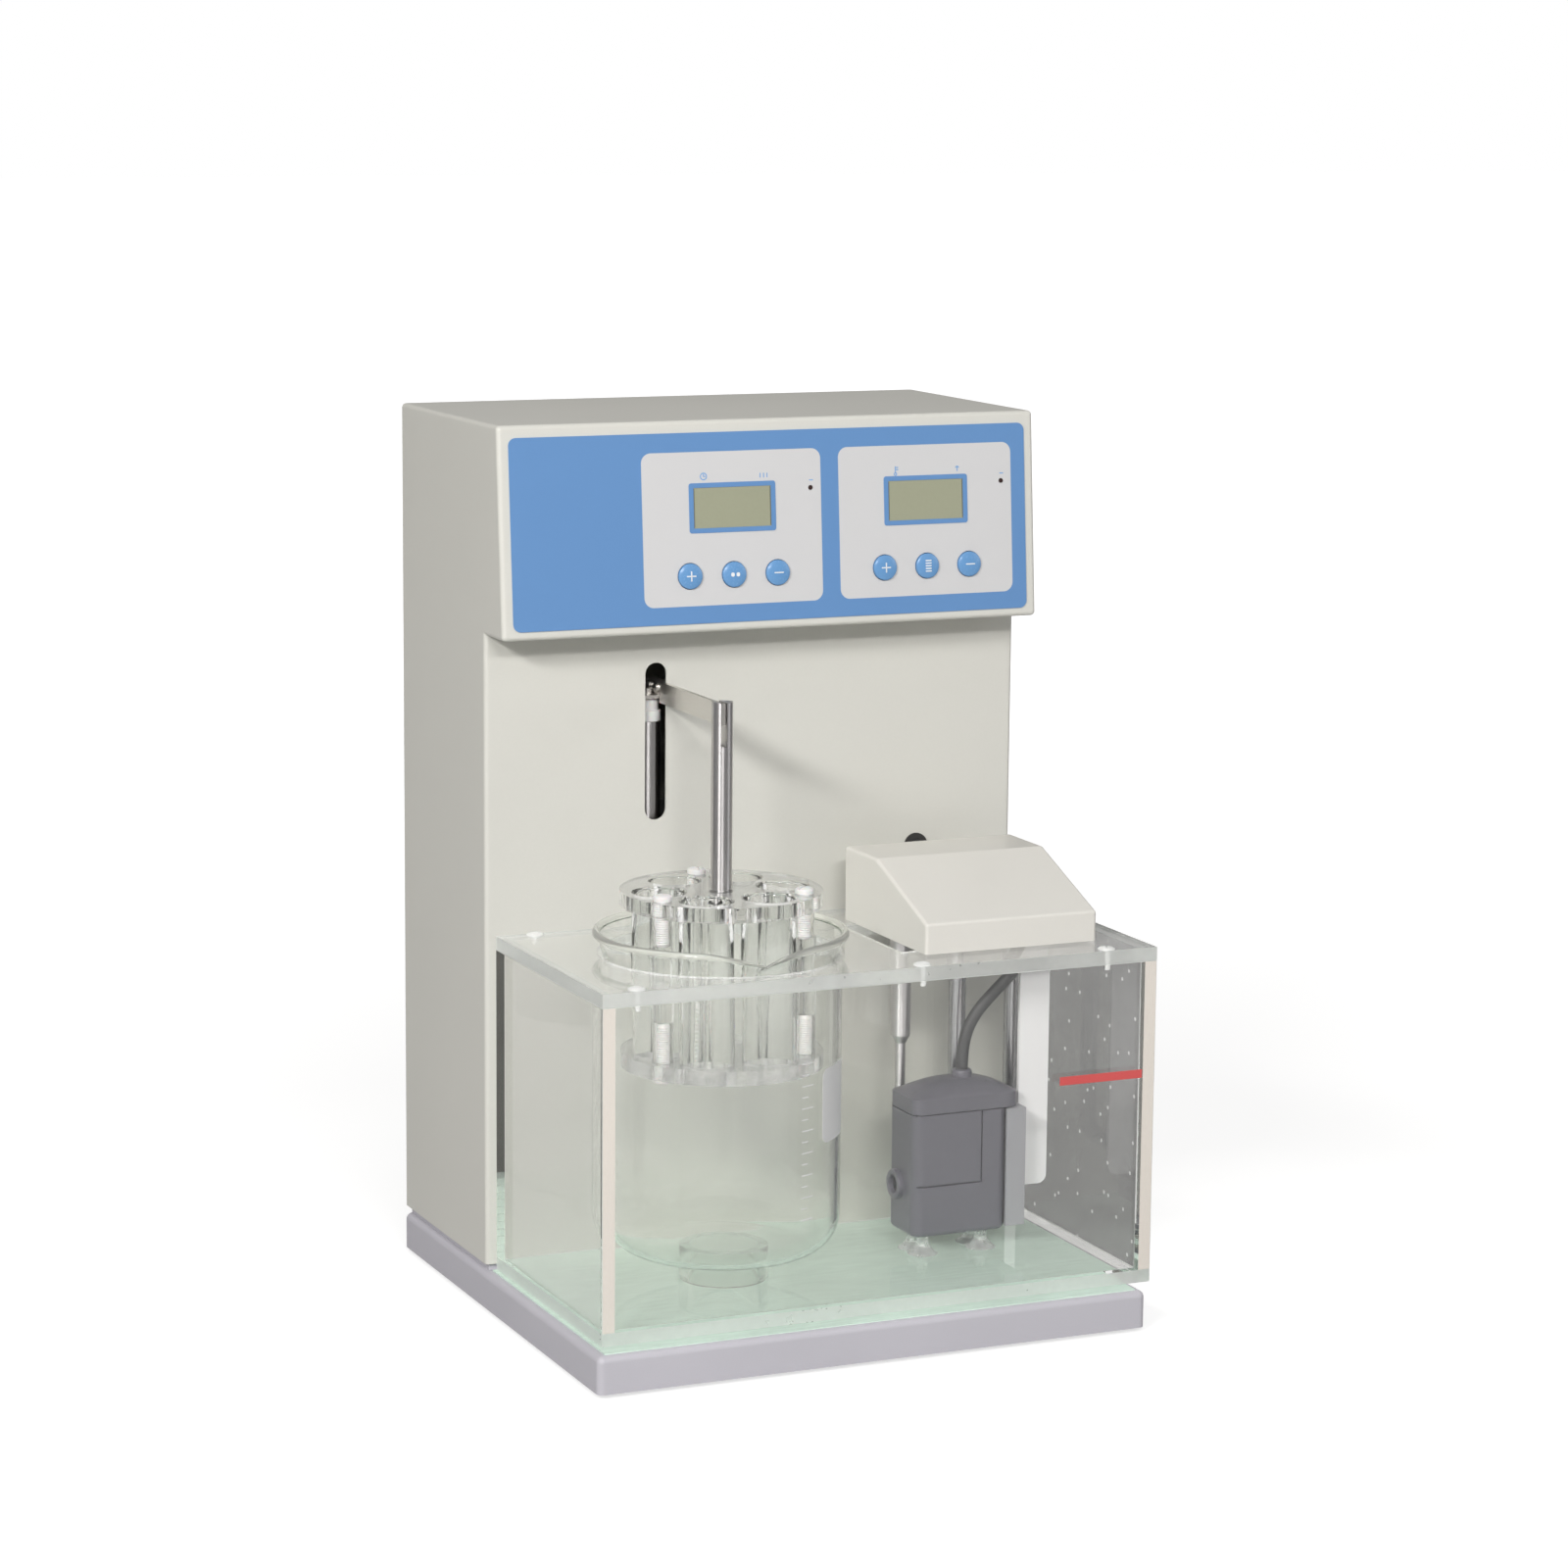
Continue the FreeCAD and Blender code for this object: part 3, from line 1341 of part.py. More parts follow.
def make_pump():
    body = box((pump_x0, pump_x1), (pump_y0, pump_y1), (pump_z0, pump_z1))
    upright = edges_where(body, lambda b: b.ZLength > pump_h / 2)
    body = body.makeFillet(pump_corner_r, upright)
    seam_z = pump_z0 + pump_seam_up
    seam_x = pump_x0 + pump_seam_x
    deep = (pump_y0 - over, pump_y0 + pump_seam)
    flat = box((pump_x0 + pump_corner_r, seam_x), deep, span(seam_z, pump_seam))
    upright = box(span(seam_x, pump_seam), deep, (seam_z, pump_z1))
    body = body.cut([flat, upright])

    cap_x = (pump_x0, pump_x1 + pump_cap_over)
    cap = box(cap_x, (pump_y0, pump_y1), (pump_z1, pump_cap_top))
    corners = edges_where(cap, lambda b: b.ZLength > pump_cap_h)
    cap = cap.makeFillet(pump_corner_r, corners)
    rise = pump_dome_h
    half = pump_d / 2
    dome_r = (half ** 2 + rise ** 2) / (2 * rise)
    mid_y = pump_y0 + half
    past_x = (cap_x[0] - over, cap_x[1] + over)
    barrel = rod_along_x(mid_y, pump_cap_top - dome_r, dome_r, *past_x)
    slab = box(past_x, (pump_y0 - over, pump_y1 + over), (pump_z1, pump_z1 + pump_cap_h))
    cap = cap.common(barrel.fuse(slab))
    end_r = cap_x[1] - cap_x[0]
    end_x = (cap_x[0] + cap_x[1]) / 2
    barrel = rod_along_y(end_x, pump_cap_top - end_r, end_r, pump_y0 - over, pump_y1 + over)
    cap = cap.common(barrel.fuse(slab))

    gland_x, gland_y = pump_lead_start()
    lead_z = pump_cap_top + lead_gland_h
    gland = rod_along_z(gland_x, gland_y, lead_gland_r, pump_z1 + pump_cap_h, lead_z)
    keep("pump_cap", cap.cut(gland), gland)

    outlet_y = col_y - outlet_out
    outlet_z = pump_z0 + outlet_up
    port = rod_along_x(outlet_y, outlet_z, outlet_r, pump_x0 - outlet_len, pump_x0 + outlet_depth)
    body = body.cut(port)
    bore_end = pump_x0 + outlet_depth - outlet_len
    port = port.cut(rod_along_x(outlet_y, outlet_z, outlet_bore_r, pump_x0 - outlet_len - over,
                                bore_end))
    keep("pump_body", port)
    keep("pump_body", body)

    grille_z = (pump_z0 + grille_low, pump_z0 + grille_low + grille_h)
    grille_x = (pump_x1, pump_x1 + grille_w)
    grille_y = (pump_y0 - grille_proud, pump_y1 - grille_inset)
    grille = box(grille_x, grille_y, grille_z)
    lap = box((pump_x1 - grille_proud, pump_x1), (pump_y0 - grille_proud, pump_y0), grille_z)
    grille = grille.fuse(lap).removeSplitter()
    outer = edges_where(grille, lambda b: b.XMin > pump_x1 + grille_w / 2 and b.ZLength > grille_w)
    keep("pump_intake", grille.makeFillet(grille_edge_r, outer))

    cups = []
    neck_top = pump_z0
    for x in (pump_x0 + cup_inset, pump_x1 - cup_inset):
        for y in (pump_y0 + cup_inset, pump_y1 - cup_inset):
            half = (neck_top + tank_floor_z) / 2
            skirt = Part.makeCone(min(cup_r, pump_d / 4), cup_neck_r, half - tank_floor_z,
                                  V(x, y, tank_floor_z))
            cups.append(skirt.fuse(rod_along_z(x, y, cup_neck_r, half, neck_top)))
    keep("suction_cups", *cups)


# Leads held by the instrument: straight runs joined by tangent arcs
bend_share = 0.45


def lead_path(name, points):
    """Wire along the points, with each arc as large as its runs allow."""
    edges, start, radii = [], points[0], []
    for k in range(1, len(points) - 1):
        back = points[k - 1] - points[k]
        ahead = points[k + 1] - points[k]
        shorter = min(back.Length, ahead.Length)
        back.normalize()
        ahead.normalize()
        turn = math.pi - back.getAngle(ahead)
        trim = bend_share * shorter
        radius = trim / math.tan(turn / 2)
        radii.append(radius)
        one, two = points[k] + back * trim, points[k] + ahead * trim
        middle = back + ahead
        middle.normalize()
        centre_far = math.hypot(trim, radius)
        top = points[k] + middle * (centre_far - radius)
        edges.append(Part.LineSegment(start, one).toShape())
        edges.append(Part.Arc(one, top, two).toShape())
        start = two
    edges.append(Part.LineSegment(start, points[-1]).toShape())
    path = Part.Wire(edges)
    print(name, "length", round(path.Length, 1), "radii", [round(r, 1) for r in radii])
    return path


def lead_tube(name, points):
    path = lead_path(name, points)
    aim = points[1] - points[0]
    section = Part.Wire(Part.makeCircle(lead_r, points[0], aim))
    tube = path.makePipeShell([section], True, False)
    share = tube.Volume / (math.pi * lead_r ** 2 * path.Length)
    print(name, "volume share", round(share, 4), "valid", tube.isValid())
    keep(name, tube)


def pump_lead_start():
    return house_cx + pump_lead_x, col_y - pump_lead_out


# Route of the pump lead: steps to the right, forwards and up from the gland
pump_lead_steps = (
    (0.0, 0.0, 3.0),
    (0.0, 0.0, 14.0),
    (4.2, 1.0, 26.5),
    (12.4, 4.2, 37.5),
    (21.4, 8.4, 48.0),
    (27.8, 10.8, 61.5),
    (27.8, 10.8, 74.0),
)

# Route of the trunk lead: to the right of the grommet, back of the column's
# face and up from the grommet's axis
trunk_lead_steps = (
    (5.0, -68.0, -18.3),
    (5.0, -59.0, -18.3),
    (4.8, -48.0, -14.4),
    (4.0, -37.0, -9.2),
    (2.4, -26.0, -6.2),
    (0.6, -17.0, -2.6),
    (0.0, -8.0, 0.0),
    (0.0, 6.0, 0.0),
    (0.4, 16.0, -1.2),
)


def pump_lead_points():
    x, y = pump_lead_start()
    z = pump_cap_top
    return [V(x + a, y - b, z + c) for a, b, c in pump_lead_steps]


def make_leads():
    lead_tube("pump_lead", pump_lead_points())
    x, z = house_cx + grommet_x, tank_z1 + grommet_high
    route = [V(x + a, col_y + b, z + c) for a, b, c in trunk_lead_steps]
    lead_tube("trunk_lead", route)

    tx = span(house_cx + terminal_x, terminal_w)
    ty = (col_y - terminal_out - terminal_d, col_y - terminal_out)
    block = box(tx, ty, (carrier_top, carrier_top + terminal_h))
    end = pump_lead_points()[-1]
    entry_z = (carrier_top, carrier_top + lead_entry)
    keep("terminal_blocks", block.cut(rod_along_z(end.x, end.y, lead_r, *entry_z)))

    collar = rod_along_y(x, z, grommet_r, col_y - grommet_flange_t, col_y)
    neck = rod_along_y(x, z, grommet_neck_r, col_y, col_in_y)
    lip_ring = rod_along_y(x, z, grommet_r, col_in_y, col_in_y + grommet_flange_t)
    grommet = collar.fuse([neck, lip_ring]).removeSplitter()
    bore = rod_along_y(x, z, lead_r + lead_fit, col_y - over, col_in_y + over)
    keep("lead_grommet", grommet.cut(bore))

    plug_y = (route[-1].y, route[-1].y + plug_d)
    keep("circuit_boards", box(span(x, plug_w), plug_y, span(z, plug_h)))


# Power board on standoffs behind the column's face
def make_power_board():
    front = col_y + power_board_back
    top = tank_z1 + grommet_high + power_board_top_over
    x = house_cx + power_board_x
    board_z = (top - power_board_h, top)
    board = box(span(x, power_board_w), (front, front + board_t), board_z)
    inset = 2 * standoff_inset
    standoffs, screws = [], []
    for sx in span(x, power_board_w - inset):
        for sz in (board_z[0] + standoff_inset, board_z[1] - standoff_inset):
            post = rod_along_y(sx, sz, standoff_r, col_in_y, front)
            shank_y = (front - board_screw_len, front + board_t)
            hole = rod_along_y(sx, sz, board_screw_r, *shank_y)
            standoffs.append(post.cut(hole))
            board = board.cut(hole)
            head_y = (front + board_t, front + board_t + board_screw_head_h)
            screws.append(hole.fuse(rod_along_y(sx, sz, board_screw_head_r, *head_y)))
    keep("circuit_boards", board)
    keep("standoffs", *standoffs)
    keep("machine_screws", *screws)
    back = front + board_t
    relays = []
    for k in (-1, 0, 1):
        rx = x + k * relay_pitch
        relays.append(box(span(rx, relay_w), (back, back + relay_d),
                          span(top - power_board_h / 3, relay_h)))
    keep("circuit_boards", *relays)
    cans = []
    for k in (-1, 0, 1):
        cans.append(rod_along_y(x + k * capacitor_pitch, top - power_board_h * 2 / 3,
                                capacitor_r, back, back + capacitor_len))
    keep("circuit_boards", *cans)


# Transformer on the base tray
def transformer_screw_spots():
    y = col_y + transformer_back
    edge = (transformer_w + transformer_foot_w) / 2
    return [(x, y) for x in span(house_x1 - transformer_from_side, edge)]


def make_transformer():
    x, y = house_x1 - transformer_from_side, col_y + transformer_back
    foot_top = deck_z + transformer_foot_t
    foot = box(span(x, transformer_foot_w), span(y, transformer_d), (deck_z, foot_top))
    core_z = (foot_top, foot_top + transformer_h)
    core = box(span(x, transformer_w), span(y, transformer_d), core_z)
    coil_x = span(x, transformer_w - 2 * coil_margin)
    coil_z = (core_z[0] + coil_margin, core_z[1] - coil_margin)
    coil = box(coil_x, span(y, coil_d), coil_z)
    core = core.cut(coil)
    screws = []
    for sx, sy in transformer_screw_spots():
        shank = rod_along_z(sx, sy, transformer_screw_r, deck_z - base_sheet, foot_top)
        foot = foot.cut(shank)
        head_z = (foot_top, foot_top + transformer_screw_head_h)
        screws.append(shank.fuse(rod_along_z(sx, sy, transformer_screw_head_r, *head_z)))
    keep("transformer", core.fuse(foot))
    keep("transformer", coil)
    keep("machine_screws", *screws)


# Lift drive: folded plate, two guides, crank, roller, yoke and gear motor
crank_z = deck_z + crank_high
plate_y0 = col_y + plate_back
plate_y1 = plate_y0 + plate_t
throw = stroke / 2
lift_above_mid = throw - lift_below_top
yoke_z = crank_z + lift_above_mid
yoke_slot_h = 2 * (roller_r + yoke_room)
yoke_y0 = col_y + crank_front - crank_pin_head_t - yoke_t


def plate_screw_spots():
    y = plate_y1 + plate_foot_d / 2
    return [(x, y) for x in span(slot_x, plate_w * 2 / 3)]


def make_drive_plate():
    wall = box(span(slot_x, plate_w), (plate_y0, plate_y1), (deck_z, deck_z + plate_h))
    foot_top = deck_z + plate_t
    foot = box(span(slot_x, plate_w), (plate_y1, plate_y1 + plate_foot_d), (deck_z, foot_top))
    plate = wall.fuse(foot).removeSplitter()
    cut_y = (plate_y0 - over, plate_y1 + over)
    plate = plate.cut(rod_along_y(slot_x, crank_z, crank_hub_r, *cut_y))
    for x, z in motor_screw_spots():
        plate = plate.cut(rod_along_y(x, z, motor_screw_r, *cut_y))
    for x, z in guide_screw_spots():
        plate = plate.cut(rod_along_y(x, z, guide_screw_r, *cut_y))
    screws = []
    for x, y in plate_screw_spots():
        shank = rod_along_z(x, y, plate_screw_r, deck_z - base_sheet, foot_top)
        plate = plate.cut(shank)
        head = rod_along_z(x, y, plate_screw_head_r, foot_top, foot_top + plate_screw_head_h)
        screws.append(shank.fuse(head))
    keep("drive_plate", plate)
    keep("machine_screws", *screws)


def guide_screw_spots():
    half = guide_w - 2 * guide_screw_inset
    levels = [deck_z + low + guide_h / 2 for low in (guide_low, guide_high)]
    return [(x, z) for z in levels for x in span(slot_x, half)]


def make_guides():
    bore_r = shaft_r + guide_fit
    blocks = []
    for low in (guide_low, guide_high):
        z = (deck_z + low, deck_z + low + guide_h)
        block = box(span(slot_x, guide_w), (col_y + guide_front, plate_y0), z)
        block = block.cut(rod_along_z(slot_x, shaft_y, bore_r, z[0] - over, z[1] + over))
        for x, sz in guide_screw_spots():
            deep = (plate_y0 - guide_screw_inset * 2, plate_y0 + over)
            block = block.cut(rod_along_y(x, sz, guide_screw_r, *deep))
        blocks.append(block)
    keep("shaft_guides", *blocks)
    screws = []
    for x, z in guide_screw_spots():
        shank_y = (plate_y0 - guide_screw_inset * 2, plate_y1)
        head_y = (plate_y1, plate_y1 + guide_screw_head_h)
        shank = rod_along_y(x, z, guide_screw_r, *shank_y)
        screws.append(shank.fuse(rod_along_y(x, z, guide_screw_head_r, *head_y)))
    keep("machine_screws", *screws)


def crank_pin_spot():
    a = math.radians(crank_rest_deg)
    return slot_x + throw * math.cos(a), crank_z + throw * math.sin(a)


def make_crank():
    front = col_y + crank_front
    back = front + crank_t
    disc = rod_along_y(slot_x, crank_z, crank_r, front, back)
    disc = disc.fuse(rod_along_y(slot_x, crank_z, crank_hub_r - lead_fit, back, back + crank_hub_t))
    gearbox_y0 = plate_y1
    axle = rod_along_y(slot_x, crank_z, output_r, front + crank_t / 3, gearbox_y0 + gearbox_t / 2)
    disc = disc.cut(axle)
    px, pz = crank_pin_spot()
    roller_y = (front - crank_pin_head_t - roller_t, front - crank_pin_head_t)
    shank = rod_along_y(px, pz, crank_pin_r, roller_y[0], back)
    washer = rod_along_y(px, pz, crank_pin_head_r, roller_y[1], front)
    disc = disc.cut(shank)
    keep("crank_disc", disc)
    keep("crank_pins", shank.fuse(washer))
    roller = rod_along_y(px, pz, roller_r, *roller_y)
    bore = rod_along_y(px, pz, crank_pin_r + roller_fit, *roller_y)
    keep("crank_roller", roller.cut(bore))
    keep("crank_pins", axle)


def make_yoke():
    reach = throw + roller_r + yoke_end_room
    slot_z = span(yoke_z, yoke_slot_h)
    yoke_y1 = yoke_y0 + yoke_t
    frame_x = span(slot_x, 2 * (reach + yoke_rim))
    frame_z = span(yoke_z, yoke_slot_h + 2 * yoke_rim)
    frame = box(frame_x, (yoke_y0, yoke_y1), frame_z)
    window = box(span(slot_x, 2 * reach), (yoke_y0 - over, yoke_y1 + over), slot_z)
    frame = frame.cut(window)
    hub = box(span(slot_x, yoke_hub_w), (col_y + guide_front, yoke_y0), frame_z)
    yoke = frame.fuse(hub).removeSplitter()
    yoke = yoke.cut(rod_along_z(slot_x, shaft_y, shaft_r, frame_z[0] - over, frame_z[1] + over))
    keep("yoke", yoke)


def motor_screw_spots():
    half = gearbox_w - 2 * motor_screw_inset
    return [(x, z) for x in span(slot_x, half) for z in span(crank_z, half)]


def make_gear_motor():
    y0, y1 = plate_y1, plate_y1 + gearbox_t
    gearbox = box(span(slot_x, gearbox_w), (y0, y1), span(crank_z, gearbox_w))
    long_edges = edges_where(gearbox, lambda b: b.YLength > gearbox_t / 2)
    gearbox = gearbox.makeFillet(gearbox_corner_r, long_edges)
    bore_end = y0 + gearbox_t / 2 + output_fit
    gearbox = gearbox.cut(rod_along_y(slot_x, crank_z, output_r + output_fit, y0 - over, bore_end))
    screws = []
    for x, z in motor_screw_spots():
        shank = rod_along_y(x, z, motor_screw_r, plate_y0, y0 + gearbox_t / 3)
        gearbox = gearbox.cut(shank)
        head = rod_along_y(x, z, motor_screw_head_r, plate_y0 - motor_screw_head_h, plate_y0)
        screws.append(shank.fuse(head))
    keep("gear_motor", gearbox)
    keep("gear_motor", rod_along_y(slot_x, crank_z, motor_r, y1, y1 + motor_len))
    keep("machine_screws", *screws)


make_base()
make_housing()
make_rear_cover()
make_mains()
make_head()
make_buttons()
make_control_board()
make_lift()
make_basket()
make_beaker()
make_tank()
make_heater_cover()
make_heater()
make_pump()
make_leads()
make_power_board()
make_transformer()
make_drive_plate()
make_guides()
make_crank()
make_yoke()
make_gear_motor()

os.makedirs("parts", exist_ok=True)
for name, solids in parts.items():
    shape = solids[0] if len(solids) == 1 else Part.makeCompound(solids)
    if not shape.isValid():
        print("not valid:", name)
    shape.exportStep("parts/" + name + ".step")
print(len(parts), "nodes")
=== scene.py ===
import math
import bpy
from mathutils import Matrix, Vector


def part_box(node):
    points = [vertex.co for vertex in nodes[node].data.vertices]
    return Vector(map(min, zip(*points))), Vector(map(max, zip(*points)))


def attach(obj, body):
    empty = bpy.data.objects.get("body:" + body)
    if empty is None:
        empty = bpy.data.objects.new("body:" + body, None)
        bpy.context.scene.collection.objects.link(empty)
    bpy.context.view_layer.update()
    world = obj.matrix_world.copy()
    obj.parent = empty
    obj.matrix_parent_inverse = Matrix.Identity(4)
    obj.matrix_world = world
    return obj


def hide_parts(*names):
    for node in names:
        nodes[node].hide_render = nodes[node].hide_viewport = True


# The instrument as its construction gives it, and the box that the looks stay
# in. Lengths below are real sizes in millimetres times mm.
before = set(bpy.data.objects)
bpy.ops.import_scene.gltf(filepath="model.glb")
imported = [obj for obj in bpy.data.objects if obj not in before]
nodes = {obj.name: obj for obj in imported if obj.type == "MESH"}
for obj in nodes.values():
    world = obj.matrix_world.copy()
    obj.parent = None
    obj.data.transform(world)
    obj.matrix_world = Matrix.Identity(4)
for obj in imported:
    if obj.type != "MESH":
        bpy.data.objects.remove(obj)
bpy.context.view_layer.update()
mm = 0.001


# Base tray: a folded steel tray with a fine textured, lilac grey powder coat.
# The housing stands on its raised deck, and a zinc plated plate with four
# rubber feet closes it from below.
tray_grey = (0.54, 0.53, 0.58)
tray_grain = 0.5
zinc_grey = (0.60, 0.61, 0.62)
rubber_black = (0.030, 0.030, 0.032)
spacer_grey = (0.66, 0.66, 0.67)


def add_node(tree, kind, inputs=(), **settings):
    """A shader node with its settings and the values of some of its inputs."""
    node = tree.nodes.new("ShaderNode" + kind)
    for key, value in settings.items():
        setattr(node, key, value)
    for key, value in inputs:
        node.inputs[key].default_value = value
    return node


def wire(tree, *links):
    """Links, each given as a node, its output, the next node and its input."""
    for source, output, target, entry in links:
        tree.links.new(source.outputs[output], target.inputs[entry])


def surface_group():
    """Node group of a worked surface: cloudy tone, fine grain and its normal."""
    group = bpy.data.node_groups.new("worked_surface", "ShaderNodeTree")
    taken = (("Colour", "Color"), ("Stretch", "Vector"), ("Tone", "Float"), ("Grain size", "Float"),
             ("Grain depth", "Float"), ("Roughness", "Float"), ("Spread", "Float"))
    given = (("Colour", "Color"), ("Roughness", "Float"), ("Normal", "Vector"))
    for way, sockets in (("INPUT", taken), ("OUTPUT", given)):
        for name, kind in sockets:
            group.interface.new_socket(name=name, in_out=way, socket_type="NodeSocket" + kind)
    inside = group.nodes.new("NodeGroupInput")
    outside = group.nodes.new("NodeGroupOutput")
    place = add_node(group, "TexCoord")
    stretch = add_node(group, "VectorMath", operation="MULTIPLY")
    cloud = add_node(group, "TexNoise", (("Scale", 14.0), ("Detail", 4.0)))
    fineness = add_node(group, "Math", ((0, 1.0),), operation="DIVIDE")
    grain = add_node(group, "TexNoise", (("Detail", 2.0),))
    both = add_node(group, "Math", operation="ADD")
    centred = add_node(group, "Math", ((1, 1.0),), operation="SUBTRACT")
    tone = add_node(group, "Math", ((2, 1.0),), operation="MULTIPLY_ADD")
    toned = add_node(group, "HueSaturation")
    gloss = add_node(group, "Math", operation="MULTIPLY_ADD")
    bump = add_node(group, "Bump")
    wire(
        group,
        (place, "Object", stretch, 0),
        (inside, "Stretch", stretch, 1),
        (place, "Object", cloud, "Vector"),
        (inside, "Grain size", fineness, 1),
        (stretch, 0, grain, "Vector"),
        (fineness, 0, grain, "Scale"),
        (cloud, "Fac", both, 0),
        (grain, "Fac", both, 1),
        (both, 0, centred, 0),
        (centred, 0, tone, 0),
        (inside, "Tone", tone, 1),
        (tone, 0, toned, "Value"),
        (inside, "Colour", toned, "Color"),
        (toned, "Color", outside, "Colour"),
        (centred, 0, gloss, 0),
        (inside, "Spread", gloss, 1),
        (inside, "Roughness", gloss, 2),
        (gloss, 0, outside, "Roughness"),
        (grain, "Fac", bump, "Height"),
        (inside, "Grain depth", bump, "Distance"),
        (bump, "Normal", outside, "Normal"),
    )
    return group


worked_surface = surface_group()


def finish(name, colour, roughness, grain=1.0, depth=0.01, tone=0.05, spread=0.08,
           stretch=(1, 1, 1), **plain):
    """A material whose tone, gloss and grain vary over the surface. Grain and depth are
    in millimetres, and plain holds the sockets with one value."""
    material = bpy.data.materials.new(name)
    material.use_nodes = True
    tree = material.node_tree
    shader = tree.nodes["Principled BSDF"]
    values = (("Colour", (*colour, 1.0)), ("Stretch", stretch), ("Tone", tone),
              ("Grain size", grain * mm), ("Grain depth", depth * mm), ("Roughness", roughness),
              ("Spread", spread))
    surface = add_node(tree, "Group", values, name="surface", node_tree=worked_surface)
    wire(tree, (surface, "Colour", shader, "Base Color"),
         (surface, "Roughness", shader, "Roughness"), (surface, "Normal", shader, "Normal"))
    for socket, value in plain.items():
        shader.inputs[socket.replace("_", " ")].default_value = value
    return material


def dress(material, *names):
    """Gives nodes of the construction their finish."""
    for name in names:
        for place in nodes[name].material_slots:
            place.material = material


dress(finish("tray_paint", tray_grey, 0.5, tray_grain, 0.03, 0.10), "base_tray")
dress(finish("zinc_plate", zinc_grey, 0.38, 6.0, 0.002, 0.16, 0.2, Metallic=1.0), "base_plate")
dress(finish("foot_rubber", rubber_black, 0.75, 0.8, 0.03, 0.2), "rubber_feet")
dress(finish("spacer_alloy", spacer_grey, 0.3, 0.3, 0.004, 0.08, stretch=(0.05, 0.05, 1),
      Metallic=1.0), "standoffs")


# Mat under the bath: a thin sheet of green closed-cell foam, cut to the base.
# Its streaks come from skiving it off the block.
mat_green = (0.68, 0.84, 0.745)
dress(finish("mat_foam", mat_green, 0.8, 2.2, 0.05, 0.30, 0.1, stretch=(0.12, 1, 1)), "tank_mat")


# Housing: column and head folded from one steel sheet and powder coated in
# cream, with a separate rear cover held by plated screws.
cream = (0.67, 0.665, 0.62)
dress(finish("housing_paint", cream, 0.42, 0.9, 0.012, 0.035, 0.06), "housing_shell", "rear_cover")
dress(finish("screw_plating", (0.62, 0.62, 0.63), 0.28, 0.6, 0.003, 0.1, Metallic=1.0),
      "machine_screws")
dress(finish("grommet_rubber", (0.035, 0.034, 0.033), 0.6, 0.7, 0.02, 0.2), "lead_grommet")


# Front film: a printed polyester film on the head's leaning face, blue with
# two pale windows, over two recessed display glasses and two small lamps.
film_blue = (0.130, 0.280, 0.55)
window_grey = (0.64, 0.64, 0.65)
glass_green = (0.355, 0.365, 0.265)
face_foot = Vector((-4.0, -9.3, 309.8)) * mm
face_lean = math.radians(4.557)
film_top = 0.5 * mm
window_mids = (-20.4 * mm, 75.4 * mm)
glass_up = 55.4 * mm
frame_size = (42.1 * mm, 22.3 * mm)
glass_size = (37.6 * mm, 18.0 * mm)
frame_out = 0.28 * mm
frame_corner = 1.2 * mm
pane_under = 0.25 * mm
pane_over = 0.03 * mm
on_face = Matrix((
    (1, 0, 0, face_foot.x),
    (0, math.sin(face_lean), -math.cos(face_lean), face_foot.y),
    (0, math.cos(face_lean), math.sin(face_lean), face_foot.z),
    (0, 0, 0, 1),
))

blue_print = finish("blue_print", film_blue, 0.36, 0.5, 0.004, 0.05, 0.05)
display_glass = finish("display_glass", glass_green, 0.12, 1.5, 0.0, 0.05, 0.03)
# Dark module colour, also laid on the glass's border as painted shade.
display_edge_and_shade = finish("display_edge_and_shade", (0.17, 0.175, 0.135), 0.3, 1.0, 0.0, 0.1)
dress(blue_print, "panel_film")
dress(finish("window_print", window_grey, 0.36, 0.5, 0.004, 0.02, 0.05), "panel_windows")
dress(display_edge_and_shade, "display_modules")
dress(finish("lamp_lens", (0.05, 0.03, 0.028), 0.12, 0.4, 0.0, 0.1), "indicator_lamps")


def new_piece(name, body):
    """Names the mesh just made, gives it its body, and hands it over."""
    piece = bpy.context.object
    bpy.ops.object.transform_apply(location=True, rotation=True, scale=True)
    piece.name = piece.data.name = name
    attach(piece, body)
    return piece


def block(name, low, high, body):
    """A cube stretched between two corners."""
    bpy.ops.object.select_all(action="DESELECT")
    low, high = Vector(low), Vector(high)
    bpy.ops.mesh.primitive_cube_add(size=1.0, location=(low + high) / 2)
    bpy.context.object.scale = high - low
    return new_piece(name, body)


def take(piece):
    """Makes one piece the selected and active one."""
    bpy.ops.object.select_all(action="DESELECT")
    piece.select_set(True)
    bpy.context.view_layer.objects.active = piece


def choose(piece, kind, test):
    """Selects the faces or edges that pass a test of their middle and direction."""
    take(piece)
    mesh = piece.data
    for part in (mesh.vertices, mesh.edges, mesh.polygons):
        part.foreach_set("select", [False] * len(part))
    bpy.context.tool_settings.mesh_select_mode = (False, kind == "edges", kind == "faces")
    if kind == "faces":
        for face in mesh.polygons:
            face.select = test(face.center, face.normal)
    else:
        for edge in mesh.edges:
            a, b = (mesh.vertices[k].co for k in edge.vertices)
            edge.select = test((a + b) / 2, (b - a).normalized())
    bpy.ops.object.mode_set(mode="EDIT")


def done(piece, angle=35.0):
    """Leaves edit mode and shades the faces smooth across shallow angles."""
    if bpy.context.mode == "EDIT_MESH":
        bpy.ops.object.mode_set(mode="OBJECT")
    take(piece)
    bpy.ops.object.shade_smooth_by_angle(angle=math.radians(angle))
    return piece


def apply_modifier(piece, kind, **settings):
    """Adds one modifier with its settings and applies it."""
    take(piece)
    modifier = piece.modifiers.new(kind.lower(), kind)
    for key, value in settings.items():
        setattr(modifier, key, value)
    bpy.ops.object.modifier_apply(modifier=modifier.name)
    return piece


